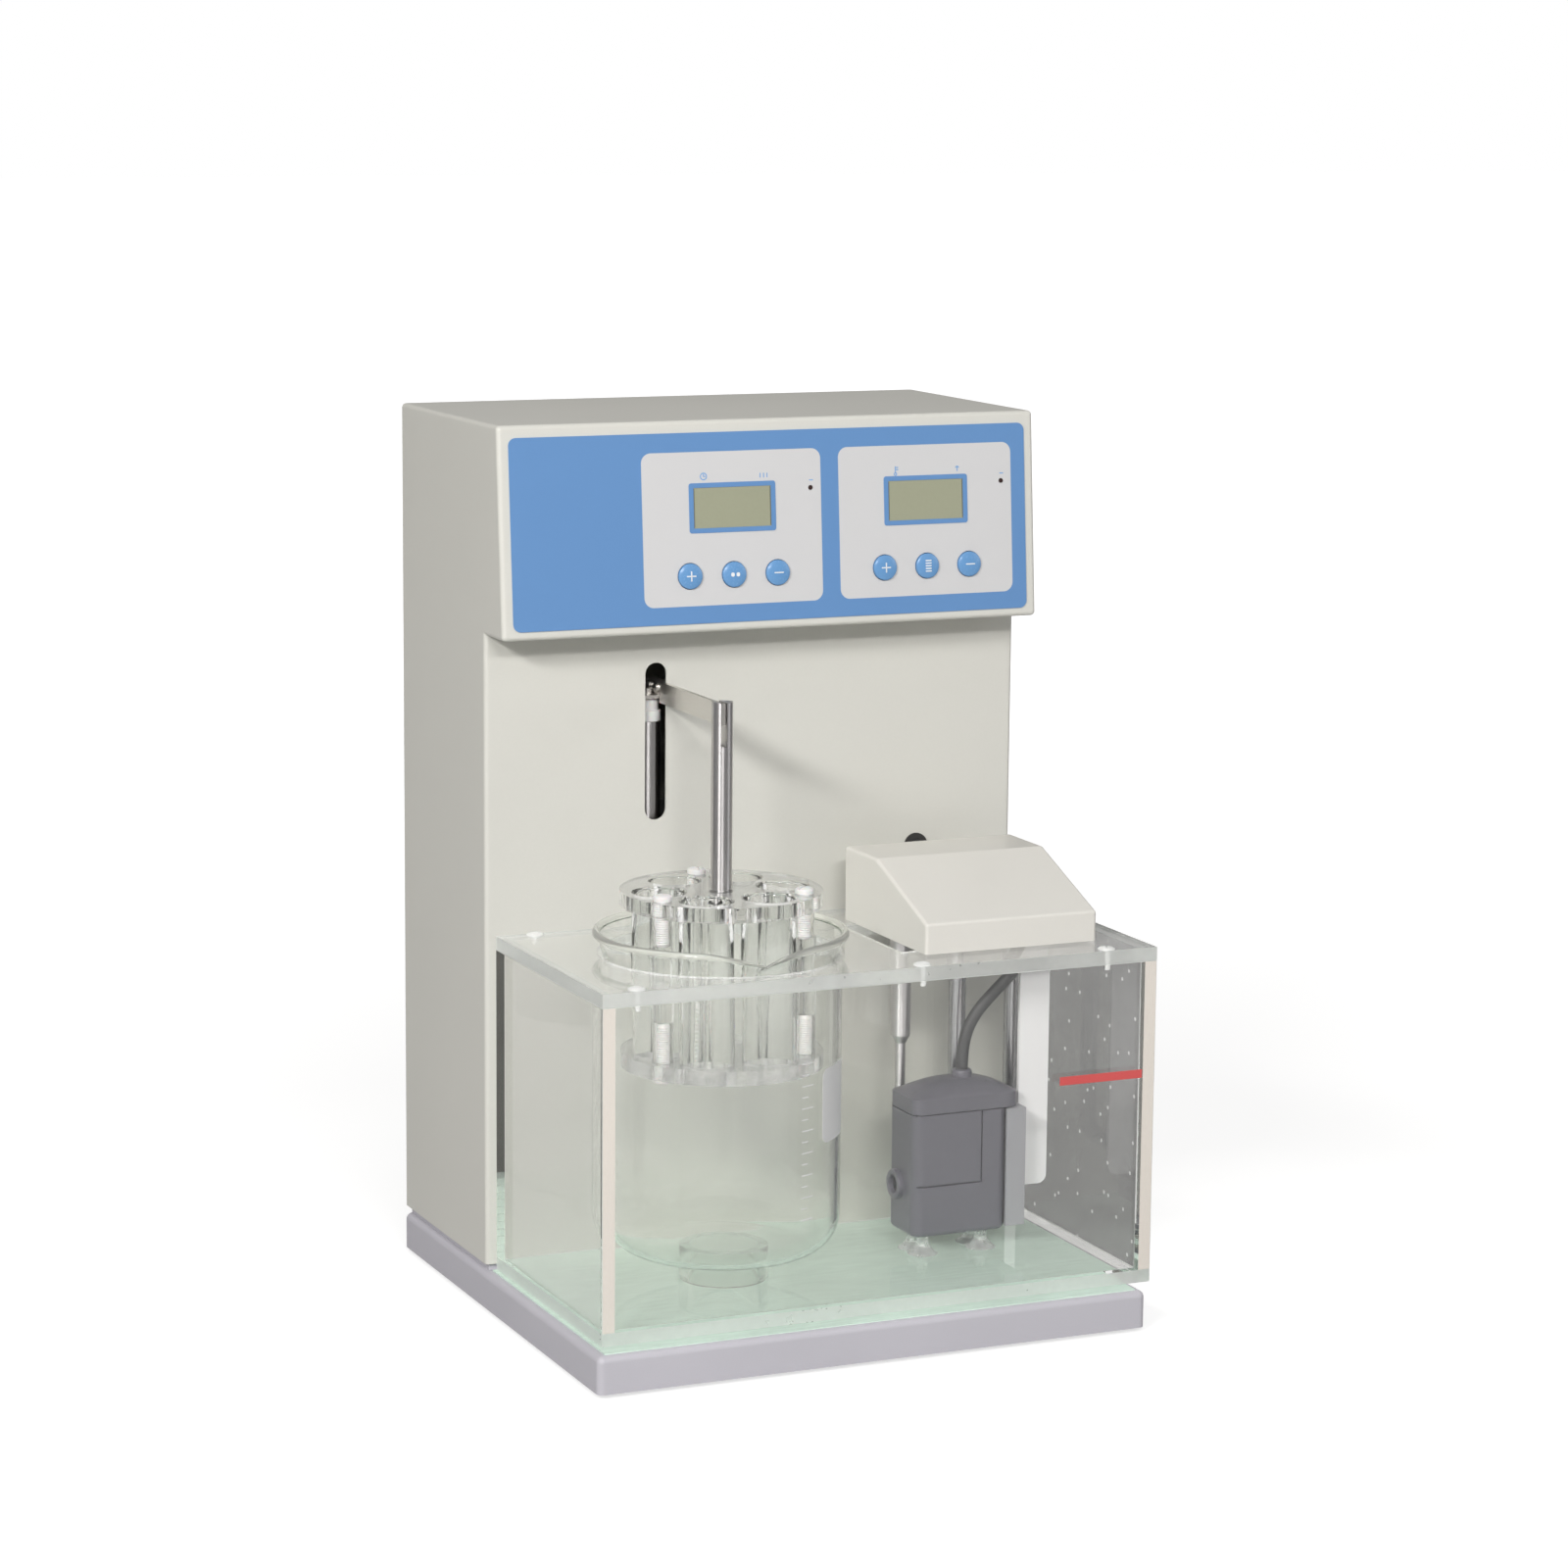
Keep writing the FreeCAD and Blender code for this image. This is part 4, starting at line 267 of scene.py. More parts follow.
def carve(piece, tool, operation="DIFFERENCE"):
    """Cuts a tool's shape out of a piece, or adds it, and removes the tool."""
    apply_modifier(piece, "BOOLEAN", object=tool, operation=operation, solver="EXACT")
    bpy.data.objects.remove(tool)
    return piece


def soften(piece, width, segments=3):
    """Rounds every sharp edge of a piece."""
    apply_modifier(piece, "BEVEL", width=width, segments=segments, limit_method="ANGLE",
                   angle_limit=math.radians(30))
    done(piece)
    return apply_modifier(piece, "WEIGHTED_NORMAL", keep_sharp=True, weight=100)


def paint(piece, *materials):
    """Gives a new piece its materials, the first one everywhere."""
    piece.data.materials.clear()
    for material in materials:
        piece.data.materials.append(material)
    return piece


def upright_edges(middle, way):
    return abs(way.z) > 0.9


def make_display(side, mid):
    """Blue frame round a display, and the glass that lies a little lower in it."""
    w, h = frame_size
    low = (mid - w / 2, glass_up - h / 2, film_top)
    high = (mid + w / 2, glass_up + h / 2, film_top + frame_out)
    ring = block("display_frame_" + side, low, high, "root")
    choose(ring, "edges", upright_edges)
    bpy.ops.mesh.bevel(offset=frame_corner, segments=5, affect="EDGES")
    done(ring)
    gw, gh = glass_size
    opening = block("opening", (mid - gw / 2, glass_up - gh / 2, 0),
                    (mid + gw / 2, glass_up + gh / 2, 2 * mm), "root")
    carve(ring, opening)
    soften(ring, 0.08 * mm, 2)
    paint(ring, blue_print)

    # The glass's dark border next to the frame is painted shade of its recess.
    rim = 0.55 * mm
    glass = block("display_pane_" + side, (mid - gw / 2, glass_up - gh / 2, film_top - pane_under),
                  (mid + gw / 2, glass_up + gh / 2, film_top + pane_over), "root")
    choose(glass, "faces", lambda middle, normal: normal.z > 0.9)
    bpy.ops.mesh.inset(thickness=rim, depth=0.0)
    done(glass)
    paint(glass, display_edge_and_shade, display_glass)
    for face in glass.data.polygons:
        inner = abs(face.center.x - mid) < rim and face.normal.z > 0.9
        face.material_index = 1 if inner else 0
    for piece in (ring, glass):
        piece.data.transform(on_face)


for side, mid in zip(("timer", "heat"), window_mids):
    make_display(side, mid)


# Printed marks beside the displays: short plain signs in the film's blue, a
# dial, a tick, a drop and dots, each a thin layer of ink on the window.
ink_t = 0.04 * mm
ink_blue = finish("ink_blue", (0.16, 0.36, 0.68), 0.45, 0.5, 0.0, 0.03)


def ink_bar(name, x, up, w, h, base, body="root", slot="film_blue", turn=0.0, thick=ink_t):
    """A flat bar of ink with rounded ends on the film."""
    bar = block(name, (-w / 2, -h / 2, 0), (w / 2, h / 2, thick), body)
    choose(bar, "edges", upright_edges)
    bpy.ops.mesh.bevel(offset=min(w, h) * 0.45, segments=3, affect="EDGES")
    done(bar)
    bar.data.transform(Matrix.Translation((x, up, base)) @ Matrix.Rotation(turn, 4, "Z"))
    return bar


def join(name, parts):
    """One piece out of several that lie in one plane."""
    take(parts[0])
    if len(parts) > 1:
        for part in parts[1:]:
            part.select_set(True)
        bpy.ops.object.join()
    parts[0].name = parts[0].data.name = name
    return parts[0]


def ink_ring(name, x, up, r, w):
    """A thin printed ring."""
    bpy.ops.object.select_all(action="DESELECT")
    bpy.ops.mesh.primitive_circle_add(vertices=32, radius=r, fill_type="NGON",
                                      location=(x, up, film_top))
    ring = new_piece(name, "root")
    choose(ring, "faces", lambda middle, normal: True)
    bpy.ops.mesh.inset(thickness=w, depth=0.0)
    bpy.ops.mesh.delete(type="FACE")
    bpy.ops.mesh.select_all(action="SELECT")
    bpy.ops.mesh.extrude_region_move(TRANSFORM_OT_translate={"value": (0, 0, ink_t)})
    return done(ring)


line_w = 0.45
sign_up = 69.4
dial_x, drop_x, rise_x = -34.1, 60.4, 91.6
sign_marks = {
    "dial_sign": ((dial_x, 0, 1.7), (dial_x, 0.5, line_w, 1.3), (dial_x + 0.4, 0, 1.1, line_w)),
    "count_sign": [(x, -0.3, line_w, 2.2) for x in (-6.6, -4.9, -3.2)],
    "scale_sign": ((drop_x, 0, line_w, 3.2), (drop_x + 0.9, 1.0, 1.2, line_w),
                   (drop_x + 0.9, 0, 1.2, line_w), (drop_x, -2.0, 0.8)),
    "rise_sign": ((rise_x, -0.4, line_w, 2.4), (rise_x - 0.5, 0.4, 1.3, line_w, 0.8),
                  (rise_x + 0.5, 0.4, 1.3, line_w, -0.8)),
    "lamp_sign_18": ((18.3, -3.2, 2.0, line_w),),
    "lamp_sign_114": ((114.1, -3.2, 2.0, line_w),),
}


def sign_mark(x, up, w, h=None, turn=0.0):
    """A ring where only its radius is given, or else a bar, in millimetres."""
    spot = (x * mm, (sign_up + up) * mm)
    if h is None:
        return ink_ring("mark", *spot, w * mm, line_w * mm)
    return ink_bar("mark", *spot, w * mm, h * mm, film_top, turn=turn)


for name, marks in sign_marks.items():
    sign = join(name, [sign_mark(*mark) for mark in marks])
    paint(sign, ink_blue)
    sign.data.transform(on_face)


# Push buttons: six moulded blue caps with a shallow dome that stand a little
# proud of the film, each with a white sign on top.
cap_r = 5.7 * mm
cap_up = 1.1 * mm
cap_dome = 0.7 * mm
cap_edge = 0.35 * mm
cap_flange_r = 6.9 * mm
cap_sunk = -1.9 * mm
flange_t = 0.8 * mm
cap_pitch = 21.3 * mm
cap_row = 25.3 * mm
button_blue = finish("button_blue", (0.14, 0.32, 0.60), 0.26, 0.8, 0.003, 0.06)
ink_white = finish("ink_white", (0.82, 0.83, 0.84), 0.45, 0.5, 0.0, 0.03)


def arc(middle, r, start, end, count):
    """Points on a round stretch of an outline, by angle in degrees."""
    turns = [math.radians(start + (end - start) * k / count) for k in range(count + 1)]
    return [(middle[0] + r * math.cos(t), middle[1] + r * math.sin(t)) for t in turns]


def turned(name, centre, outline, body, steps=64):
    """A piece spun about an upright axis from its outline of (radius, height) points."""
    bpy.ops.object.select_all(action="DESELECT")
    centre = Vector(centre)
    r, z = outline[0]
    bpy.ops.mesh.primitive_plane_add(size=mm, location=centre + Vector((r, 0, z)))
    piece = new_piece(name, body)
    bpy.context.tool_settings.mesh_select_mode = (True, False, False)
    bpy.ops.object.mode_set(mode="EDIT")
    bpy.ops.mesh.select_all(action="SELECT")
    bpy.ops.mesh.merge(type="CENTER")
    for (r0, z0), (r1, z1) in zip(outline, outline[1:]):
        step = {"value": (r1 - r0, 0, z1 - z0)}
        bpy.ops.mesh.extrude_region_move(TRANSFORM_OT_translate=step)
    bpy.ops.mesh.select_all(action="SELECT")
    bpy.ops.mesh.spin(steps=steps, angle=math.tau, center=centre, axis=(0, 0, 1))
    bpy.ops.mesh.select_all(action="SELECT")
    bpy.ops.mesh.remove_doubles(threshold=0.002 * mm)
    bpy.ops.mesh.normals_make_consistent(inside=False)
    return done(piece)


def dome_outline(r, low, edge_up, dome, edge):
    """Closed outline of a cap with a softly rounded edge and a shallow crown."""
    crown = [(r * out, edge_up + dome * up) for out, up in ((0.72, 0.48), (0.4, 0.84), (0, 1))]
    return [(0, low), (r, low), *arc((r - edge, edge_up - edge), edge, 0, 70, 4), *crown]


def button_sign(kind, x, body):
    """White sign on a button's crown."""
    top = film_top + cap_up + cap_dome * 0.5
    line = 0.55 * mm
    deep = {"base": top, "body": body, "slot": "nylon", "thick": cap_dome * 0.5 + ink_t}
    if kind == "plus":
        bars = [(0, 0, 4.6, line / mm), (0, 0, line / mm, 4.6)]
    elif kind == "minus":
        bars = [(0, 0, 4.6, line / mm)]
    elif kind == "squares":
        bars = [(-1.3, 0, 1.7, 1.9), (1.3, 0, 1.7, 1.9)]
    else:
        bars = [(0, 2.4 - 1.2 * k, 3.0, line / mm) for k in range(5)]
    parts = [ink_bar("sign_part_%d" % k, x + a * mm, cap_row + b * mm, w * mm, h * mm, **deep)
             for k, (a, b, w, h) in enumerate(bars)]
    return join("sign_" + body, parts)


def make_button(body, x, kind):
    outline = dome_outline(cap_r, 0, film_top + cap_up, cap_dome, cap_edge)
    outline[:2] = [(0, cap_sunk), (cap_flange_r, cap_sunk), (cap_flange_r, cap_sunk + flange_t),
                   (cap_r, cap_sunk + flange_t)]
    cap = turned("cap_" + body, (x, cap_row, 0), outline, body, 48)
    paint(cap, button_blue)
    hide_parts("button_" + body)
    sign = button_sign(kind, x, body)
    paint(sign, ink_white)
    for piece in (cap, sign):
        piece.data.transform(on_face)


for row, mid, set_sign in (("timer", window_mids[0], "squares"), ("heat", window_mids[1], "bars")):
    for k, (key, kind) in enumerate((("plus", "plus"), ("set", set_sign), ("minus", "minus"))):
        make_button(row + "_" + key, mid + (k - 1) * cap_pitch, kind)


# Boards behind the face and in the column: green lacquered glass fibre with
# black relays and tinned cans.
dress(finish("board_green", (0.03, 0.16, 0.06), 0.35, 3.0, 0.01, 0.5, 0.2), "circuit_boards")


# Lift: a ground steel shaft behind the slot with a white stepped nylon collar,
# a bent bracket on top and a flat arm that reaches out over the beaker.
steel_grey = (0.58, 0.565, 0.57)
polished_steel = finish("polished_steel", steel_grey, 0.33, 0.25, 0.001, 0.10, 0.10,
                        stretch=(0.04, 0.04, 1), Metallic=1.0, Anisotropic=0.95,
                        Anisotropic_Rotation=0.25)
steel_tree = polished_steel.node_tree
turned_way = add_node(steel_tree, "Tangent", direction_type="RADIAL", axis="Z")
wire(steel_tree, (turned_way, 0, steel_tree.nodes["Principled BSDF"], "Tangent"))
satin_steel = finish("satin_steel", (0.74, 0.72, 0.69), 0.34, 0.3, 0.004, 0.12, 0.12,
                     stretch=(1, 0.03, 1), Metallic=1.0)
nylon_white = finish("nylon_white", (0.80, 0.80, 0.79), 0.38, 0.8, 0.01, 0.05,
                     Subsurface_Weight=0.15, Subsurface_Scale=1.0 * mm)
dress(polished_steel, "lift_shaft", "suspension_rod")
dress(satin_steel, "arm_screws", "arm_bracket", "lift_arm")

collar_low, collar_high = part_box("shaft_collar")
collar_mid = (collar_low + collar_high) / 2
collar_step = collar_low.z + 5.0 * mm
collar_rs = (6.0 * mm, 5.0 * mm, 3.05 * mm)
collar = turned("nylon_collar", (collar_mid.x, collar_mid.y, 0), [
    (collar_rs[2], collar_low.z),
    *arc((collar_rs[0] - 0.4 * mm, collar_low.z + 0.4 * mm), 0.4 * mm, -90, 0, 3),
    *arc((collar_rs[0] - 0.4 * mm, collar_step - 0.4 * mm), 0.4 * mm, 0, 90, 3),
    (collar_rs[1], collar_step),
    *arc((collar_rs[1] - 0.5 * mm, collar_high.z - 0.5 * mm), 0.5 * mm, 0, 90, 3),
    (collar_rs[2], collar_high.z),
    (collar_rs[2], collar_low.z),
], "lift")
paint(collar, nylon_white)
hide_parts("shaft_collar")


# Basket discs: two clear acrylic discs drilled for six tubes and three posts.
# The upper one hangs from the rod, the lower one carries the wire mesh.
acrylic_tint = (0.905, 0.903, 0.892)
tube_r = 12.05 * mm
tube_ring = 28.5 * mm
post_ring = 37.5 * mm
tube_gap = 0.25 * mm
post_bore = 3.1 * mm
disc_edge = 0.8 * mm
flat_limit, edge_limit = 0.98, 0.1
tube_turns = [math.radians(-6 + 60 * k) for k in range(6)]
post_turns = [math.radians(-36 + 120 * k) for k in range(3)]
top_low, top_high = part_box("upper_disc")
foot_low, foot_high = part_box("lower_disc")
basket_mid = (top_low + top_high) / 2
disc_r = (top_high.x - top_low.x) / 2


def either_ray(tree, first, second):
    """Node that puts out one for two kinds of rays, and nought for the rest."""
    path = add_node(tree, "LightPath")
    either = add_node(tree, "Math", operation="MAXIMUM")
    wire(tree, (path, first, either, 0), (path, second, either, 1))
    return either


def mix_shaders(tree, factor, first, second, output):
    """Mixes two shaders by a factor, as the surface of a material or a world."""
    mix = add_node(tree, "MixShader")
    wire(tree, (factor, 0, mix, 0), (first, 0, mix, 1), (second, 0, mix, 2),
         (mix, 0, tree.nodes[output], "Surface"))


def clear(name, tint, roughness, ior, spread=0.0, tone=0.0, weight=1.0):
    """A clear material. Shadow and diffuse rays pass it, so that what it holds is lit."""
    material = finish(name, tint, roughness, 4.0, 0.0, tone, spread, IOR=ior,
                      Transmission_Weight=weight)
    tree = material.node_tree
    mix_shaders(tree, either_ray(tree, "Is Shadow Ray", "Is Diffuse Ray"),
                tree.nodes["Principled BSDF"], add_node(tree, "BsdfTransparent"),
                "Material Output")
    return material


clear_acrylic = clear("clear_acrylic", acrylic_tint, 0.0, 1.49)
# Grey on the discs' flats and dark on their bevelled rims are painted shade.
disc_top_painted_shade = clear("disc_top_painted_shade", (0.76, 0.76, 0.75), 0.0, 1.49, weight=0.85)
disc_rim_painted_shade = clear("disc_rim_painted_shade", (0.26, 0.26, 0.25), 0.1, 1.49, weight=0.25)
disc_wet = clear("disc_wet", (0.84, 0.84, 0.83), 0.16, 1.49, 0.3, 0.5, weight=0.86)


def ring_spots(r, turns, centre=basket_mid):
    return [(centre.x + r * math.cos(t), centre.y + r * math.sin(t)) for t in turns]


def drill(piece, spots, r, steps=48):
    """Bores upright holes right through a piece."""
    for x, y in spots:
        bpy.ops.object.select_all(action="DESELECT")
        bpy.ops.mesh.primitive_cylinder_add(vertices=steps, radius=r, depth=1.0, location=(x, y, 0))
        carve(piece, bpy.context.object)
    return piece


def make_disc(name, low, high, node, centre_hole, side):
    """A drilled disc with one finish in its bores, one on its flats and one on its edges."""
    bpy.ops.object.select_all(action="DESELECT")
    spot = (basket_mid.x, basket_mid.y, (low.z + high.z) / 2)
    bpy.ops.mesh.primitive_cylinder_add(vertices=128, radius=disc_r, depth=high.z - low.z,
                                        location=spot)
    disc = new_piece(name, "basket")
    drill(disc, ring_spots(tube_ring, tube_turns), tube_r + tube_gap)
    drill(disc, ring_spots(post_ring, post_turns), post_bore, 24)
    if centre_hole:
        drill(disc, [(basket_mid.x, basket_mid.y)], post_bore, 24)
    soften(disc, disc_edge, 2)
    paint(disc, side, disc_top_painted_shade, disc_rim_painted_shade)
    # Flats take the grey painted shade, bevelled rims the dark painted shade.
    for face in disc.data.polygons:
        up = abs(face.normal.z)
        face.material_index = 1 if up > flat_limit else 2 if up > edge_limit else 0
    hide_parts(node)


make_disc("top_disc", top_low, top_high, "upper_disc", True, clear_acrylic)
make_disc("foot_disc", foot_low, foot_high, "lower_disc", False, disc_wet)


# Six glass tubes with fire polished ends, which stand on the mesh and hold a
# tablet each.
tube_wall = 1.3 * mm
tube_low, tube_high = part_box("glass_tubes")
tube_glass = clear("tube_glass", (0.99, 0.995, 0.99), 0.0, 1.47)


def pipe_outline(outer, wall, low, high):
    """Closed outline of a pipe whose two ends are fully rounded."""
    mid, r = outer - wall / 2, wall / 2
    return [
        *arc((mid, low + r), r, 180, 360, 6),
        *arc((mid, high - r), r, 0, 180, 6),
        (outer - wall, low + r),
    ]


for k, (x, y) in enumerate(ring_spots(tube_ring, tube_turns)):
    outline = pipe_outline(tube_r, tube_wall, tube_low.z, tube_high.z)
    tube = turned("glass_tube_%d" % (k + 1), (x, y, 0), outline, "basket", 56)
    paint(tube, tube_glass)
    if k == 0:
        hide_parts("glass_tubes")


# Three clear posts between the discs, with white nylon screws in both ends.
# The screws are slotted and their threads show through the posts.
post_r = 4.5 * mm
screw_r = 3.0 * mm
thread_pitch = 1.0 * mm
thread_depth = 0.32 * mm
post_low, post_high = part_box("basket_posts")
screws_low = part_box("basket_screws")[0]
top_shank_end = top_high.z - 20.2 * mm
low_shank_end = foot_low.z + 24.2 * mm
head_r = 4.2 * mm
slot_w = 0.9 * mm


def threaded(start, end):
    """Outline of a threaded shank from its head to its tip."""
    way = 1 if end > start else -1
    turns = int(abs(end - start) / thread_pitch) - 1
    points = [(screw_r - 0.02 * mm, start)]
    for k in range(turns):
        z = start + way * (k + 0.5) * thread_pitch
        points += [(screw_r - thread_depth, z), (screw_r - 0.02 * mm, z + way * thread_pitch / 2)]
    return points + [(screw_r - 2 * thread_depth, end), (0, end)]


def cut_slot(piece, centre, width, low, high, turn):
    """Screwdriver slot across a head."""
    reach = 10 * mm
    slot = block("slot", (-reach, -width / 2, low), (reach, width / 2, high), "root")
    slot.data.transform(Matrix.Translation(centre) @ Matrix.Rotation(turn, 4, "Z"))
    carve(piece, slot)
    return done(piece)


for k, (x, y) in enumerate(ring_spots(post_ring, post_turns)):
    bore = screw_r + 0.05 * mm
    post = turned("clear_post_%d" % (k + 1), (x, y, 0), [
        (0, low_shank_end), (bore, low_shank_end), (bore, post_low.z),
        (post_r, post_low.z), (post_r, post_high.z), (bore, post_high.z),
        (bore, top_shank_end), (0, top_shank_end),
    ], "basket", 40)
    paint(post, clear_acrylic)
    head_z = top_high.z
    crown = dome_outline(head_r, head_z, head_z + 2.2 * mm, 0.8 * mm, 0.8 * mm)[1:]
    upper = turned("post_screw_%d" % (k + 1), (x, y, 0),
                   list(reversed(threaded(head_z, top_shank_end))) + crown,
                   "basket", 32)
    cut_slot(upper, (x, y, 0), slot_w, head_z + 1.9 * mm, head_z + 9 * mm, 0.5 + k)
    foot = screws_low.z
    lower = turned("foot_screw_%d" % (k + 1), (x, y, 0),
                   [(0, foot), (head_r - 0.4 * mm, foot), (head_r, foot + 0.4 * mm),
                    (head_r, foot + 2 * mm)]
                   + threaded(foot + 2 * mm, low_shank_end),
                   "basket", 32)
    for screw in (upper, lower):
        paint(screw, nylon_white)
    if k == 0:
        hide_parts("basket_posts")
        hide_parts("basket_screws")


# Wire mesh under the lower disc: stainless wires woven over and under each
# other, cut to a round.
mesh_low, mesh_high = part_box("basket_mesh")
mesh_r = (mesh_high.x - mesh_low.x) / 2
wire_pitch = 2.8 * mm
wire_r = 0.27 * mm
wire_steel = finish("wire_steel", (0.60, 0.60, 0.60), 0.22, 0.5, 0.001, 0.1, Metallic=1.0)


def weave_mesh():
    """Both sets of wires as one curve of many short-stepped lines, made a mesh."""
    curve = bpy.data.curves.new("woven_mesh", "CURVE")
    curve.dimensions = "3D"
    curve.bevel_depth = wire_r
    curve.bevel_resolution = 0
    count = int(mesh_r / wire_pitch)
    rise = (mesh_high.z - mesh_low.z) / 2 - wire_r
    mid_z = (mesh_low.z + mesh_high.z) / 2
    for along in (0, 1):
        for i in range(-count, count + 1):
            side = i * wire_pitch
            steps = int(math.sqrt(max(mesh_r ** 2 - side ** 2, 0)) / wire_pitch)
            line = curve.splines.new("POLY")
            line.points.add(2 * steps)
            for k in range(2 * steps + 1):
                j = k - steps
                over_under = 1 if (i + j + along) % 2 else -1
                spot = (j * wire_pitch, side) if along == 0 else (side, j * wire_pitch)
                line.points[k].co = (basket_mid.x + spot[0], basket_mid.y + spot[1],
                                     mid_z + over_under * rise, 1)
    woven = bpy.data.objects.new("woven_mesh", curve)
    bpy.context.scene.collection.objects.link(woven)
    take(woven)
    bpy.ops.object.convert(target="MESH")
    return new_piece("woven_mesh", "basket")


woven = weave_mesh()
paint(woven, wire_steel)
done(woven, 60)
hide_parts("basket_mesh")


# Beaker: a blown one litre beaker with a rolled rim, a poured spout at the
# front and a rounded heel. The glass looks green where it is thick.
beaker_low, beaker_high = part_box("beaker")
beaker_r = 53.0 * mm
beaker_wall = 2.0 * mm
heel_r = 17.0 * mm
rim_r = 57.0 * mm
bead_r = 1.7 * mm
rim_depth = 1.7 * bead_r
flare_h = 9.5 * mm
spout_turn = math.radians(-95)
spout_reach = 66.0 * mm
spout_fall = 4.6 * mm
spout_flank = math.acos(rim_r / spout_reach)
beaker_glass = clear("beaker_glass", (0.99, 0.995, 0.99), 0.0, 1.47)
glass_tree = beaker_glass.node_tree
green_depth = add_node(glass_tree, "VolumeAbsorption",
                       (("Color", (0.76, 0.90, 0.78, 1.0)), ("Density", 11)))
wire(glass_tree, (green_depth, 0, glass_tree.nodes["Material Output"], "Volume"))
# Pale, partly opaque glass on the rolled rim is a painted highlight.
rim_glass_painted_highlight = clear("rim_glass_painted_highlight", (0.84, 0.85, 0.79), 0.06, 1.47, weight=0.6)


def make_beaker():
    low, top = beaker_low.z, beaker_high.z
    r, wall, inner = beaker_r, beaker_wall, beaker_r - beaker_wall
    rim_mid = (rim_r - bead_r, top - bead_r)
    outline = [
        (0, low + 0.6 * mm),
        (r - heel_r - 6 * mm, low),
        *arc((r - heel_r, low + heel_r), heel_r, -90, 0, 10),
        (r, top - flare_h - 20 * mm),
        (r, top - flare_h),
        (r + 1.0 * mm, top - flare_h * 0.55),
        (rim_mid[0] - 0.4 * mm, rim_mid[1] - bead_r * 0.9),
        *arc(rim_mid, bead_r, -60, 180, 9),
        (inner + 0.9 * mm, top - flare_h * 0.6),
        (inner, top - flare_h - 2 * mm),
        (inner, top - flare_h - 20 * mm),
        *arc((r - heel_r, low + heel_r), heel_r - wall, 0, -90, 9),
        (r - heel_r - 6 * mm, low + wall),
        (0, low + wall + 0.6 * mm),
    ]
    cup = turned("glass_beaker", (basket_mid.x, basket_mid.y, 0), outline, "beaker",
                 144)
    paint(cup, beaker_glass, rim_glass_painted_highlight)
    # Faces near the top of the rim take its painted highlight.
    for face in cup.data.polygons:
        face.material_index = 1 if face.center.z > top - rim_depth else 0
    flare_foot = top - flare_h - 3 * mm
    for vertex in cup.data.vertices:
        x, y = vertex.co.x - basket_mid.x, vertex.co.y - basket_mid.y
        up = (vertex.co.z - flare_foot) / (top - flare_foot)
        away = abs((math.atan2(y, x) - spout_turn + math.pi) % math.tau - math.pi)
        if up > 0 and away < spout_flank:
            drawn = 1 / math.cos(spout_flank - away) - 1
            vertex.co.x += x * drawn * up ** 1.5
            vertex.co.y += y * drawn * up ** 1.5
            vertex.co.z -= spout_fall * drawn * rim_r / (spout_reach - rim_r) * up ** 2
    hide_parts("beaker")
    return done(cup, 60)


make_beaker()


# Fired enamel on the beaker: a white patch to write on and a plain scale of
# lines beside it. They have no letters or numbers.
enamel_t = 0.12 * mm
enamel_gap = 0.02 * mm
tick_w = 0.5 * mm
tick_lengths = (7.0 * mm, 3.8 * mm)
patch_turns = (math.radians(-57), math.radians(-28))
patch_z = (94 * mm, 127.5 * mm)
scale_turn = math.radians(-72)
scale_z = (62 * mm, 132 * mm)
scale_step = 5.0 * mm
enamel = finish("enamel", (0.78, 0.78, 0.80), 0.4, 0.6, 0.01, 0.04)


def on_beaker(name, turns, heights, corner):
    """A thin rounded patch wrapped on the beaker's outer wall."""
    width = (turns[1] - turns[0]) * beaker_r
    tall = heights[1] - heights[0]
    patch = block(name, (0, 0, heights[0]), (width, enamel_t, heights[1]), "beaker")
    choose(patch, "edges", lambda middle, way: abs(way.y) > 0.9)
    bpy.ops.mesh.bevel(offset=min(corner, tall * 0.45, width * 0.45), segments=5, affect="EDGES")
    bpy.ops.object.mode_set(mode="OBJECT")
    steps = max(2, int(width / (1.5 * mm)))
    for k in range(1, steps):
        take(patch)
        bpy.ops.object.mode_set(mode="EDIT")
        bpy.ops.mesh.select_all(action="SELECT")
        bpy.ops.mesh.bisect(plane_co=(width * k / steps, 0, 0), plane_no=(1, 0, 0))
        bpy.ops.object.mode_set(mode="OBJECT")
    for vertex in patch.data.vertices:
        r = beaker_r + enamel_gap + (enamel_t - vertex.co.y)
        turn = turns[0] + vertex.co.x / beaker_r
        vertex.co.x = basket_mid.x + r * math.cos(turn)
        vertex.co.y = basket_mid.y + r * math.sin(turn)
    paint(patch, enamel)
    return done(patch)


on_beaker("write_on_patch", patch_turns, patch_z, 4 * mm)
ticks = []
for k in range(int((scale_z[1] - scale_z[0]) / scale_step) + 1):
    z = scale_z[0] + k * scale_step
    reach = scale_turn + tick_lengths[k % 2] / beaker_r
    ticks.append(on_beaker("tick_%d" % k, (scale_turn, reach), (z, z + tick_w), 0.4 * tick_w))
join("beaker_scale", ticks)


# Clear ring that keeps the beaker off the bath's floor: turned from acrylic
# pipe, with its edges broken. It lies loose on the floor of the bath.
ring_low, ring_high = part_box("beaker_ring")
ring_mid = (ring_low + ring_high) / 2
ring_r = (ring_high.x - ring_low.x) / 2
ring_wall = 4.5 * mm
bevel = 0.5 * mm
stand_ring = turned("stand_ring", (ring_mid.x, ring_mid.y, 0), [
    (ring_r - ring_wall, ring_low.z),
    *arc((ring_r - bevel, ring_low.z + bevel), bevel, -90, 0, 3),
    *arc((ring_r - bevel, ring_high.z - bevel), bevel, 0, 90, 3),
    *arc((ring_r - ring_wall + bevel, ring_high.z - bevel), bevel, 90, 180, 3),
    (ring_r - ring_wall, ring_low.z),
], "root", 72)
paint(stand_ring, clear_acrylic)
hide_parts("beaker_ring")
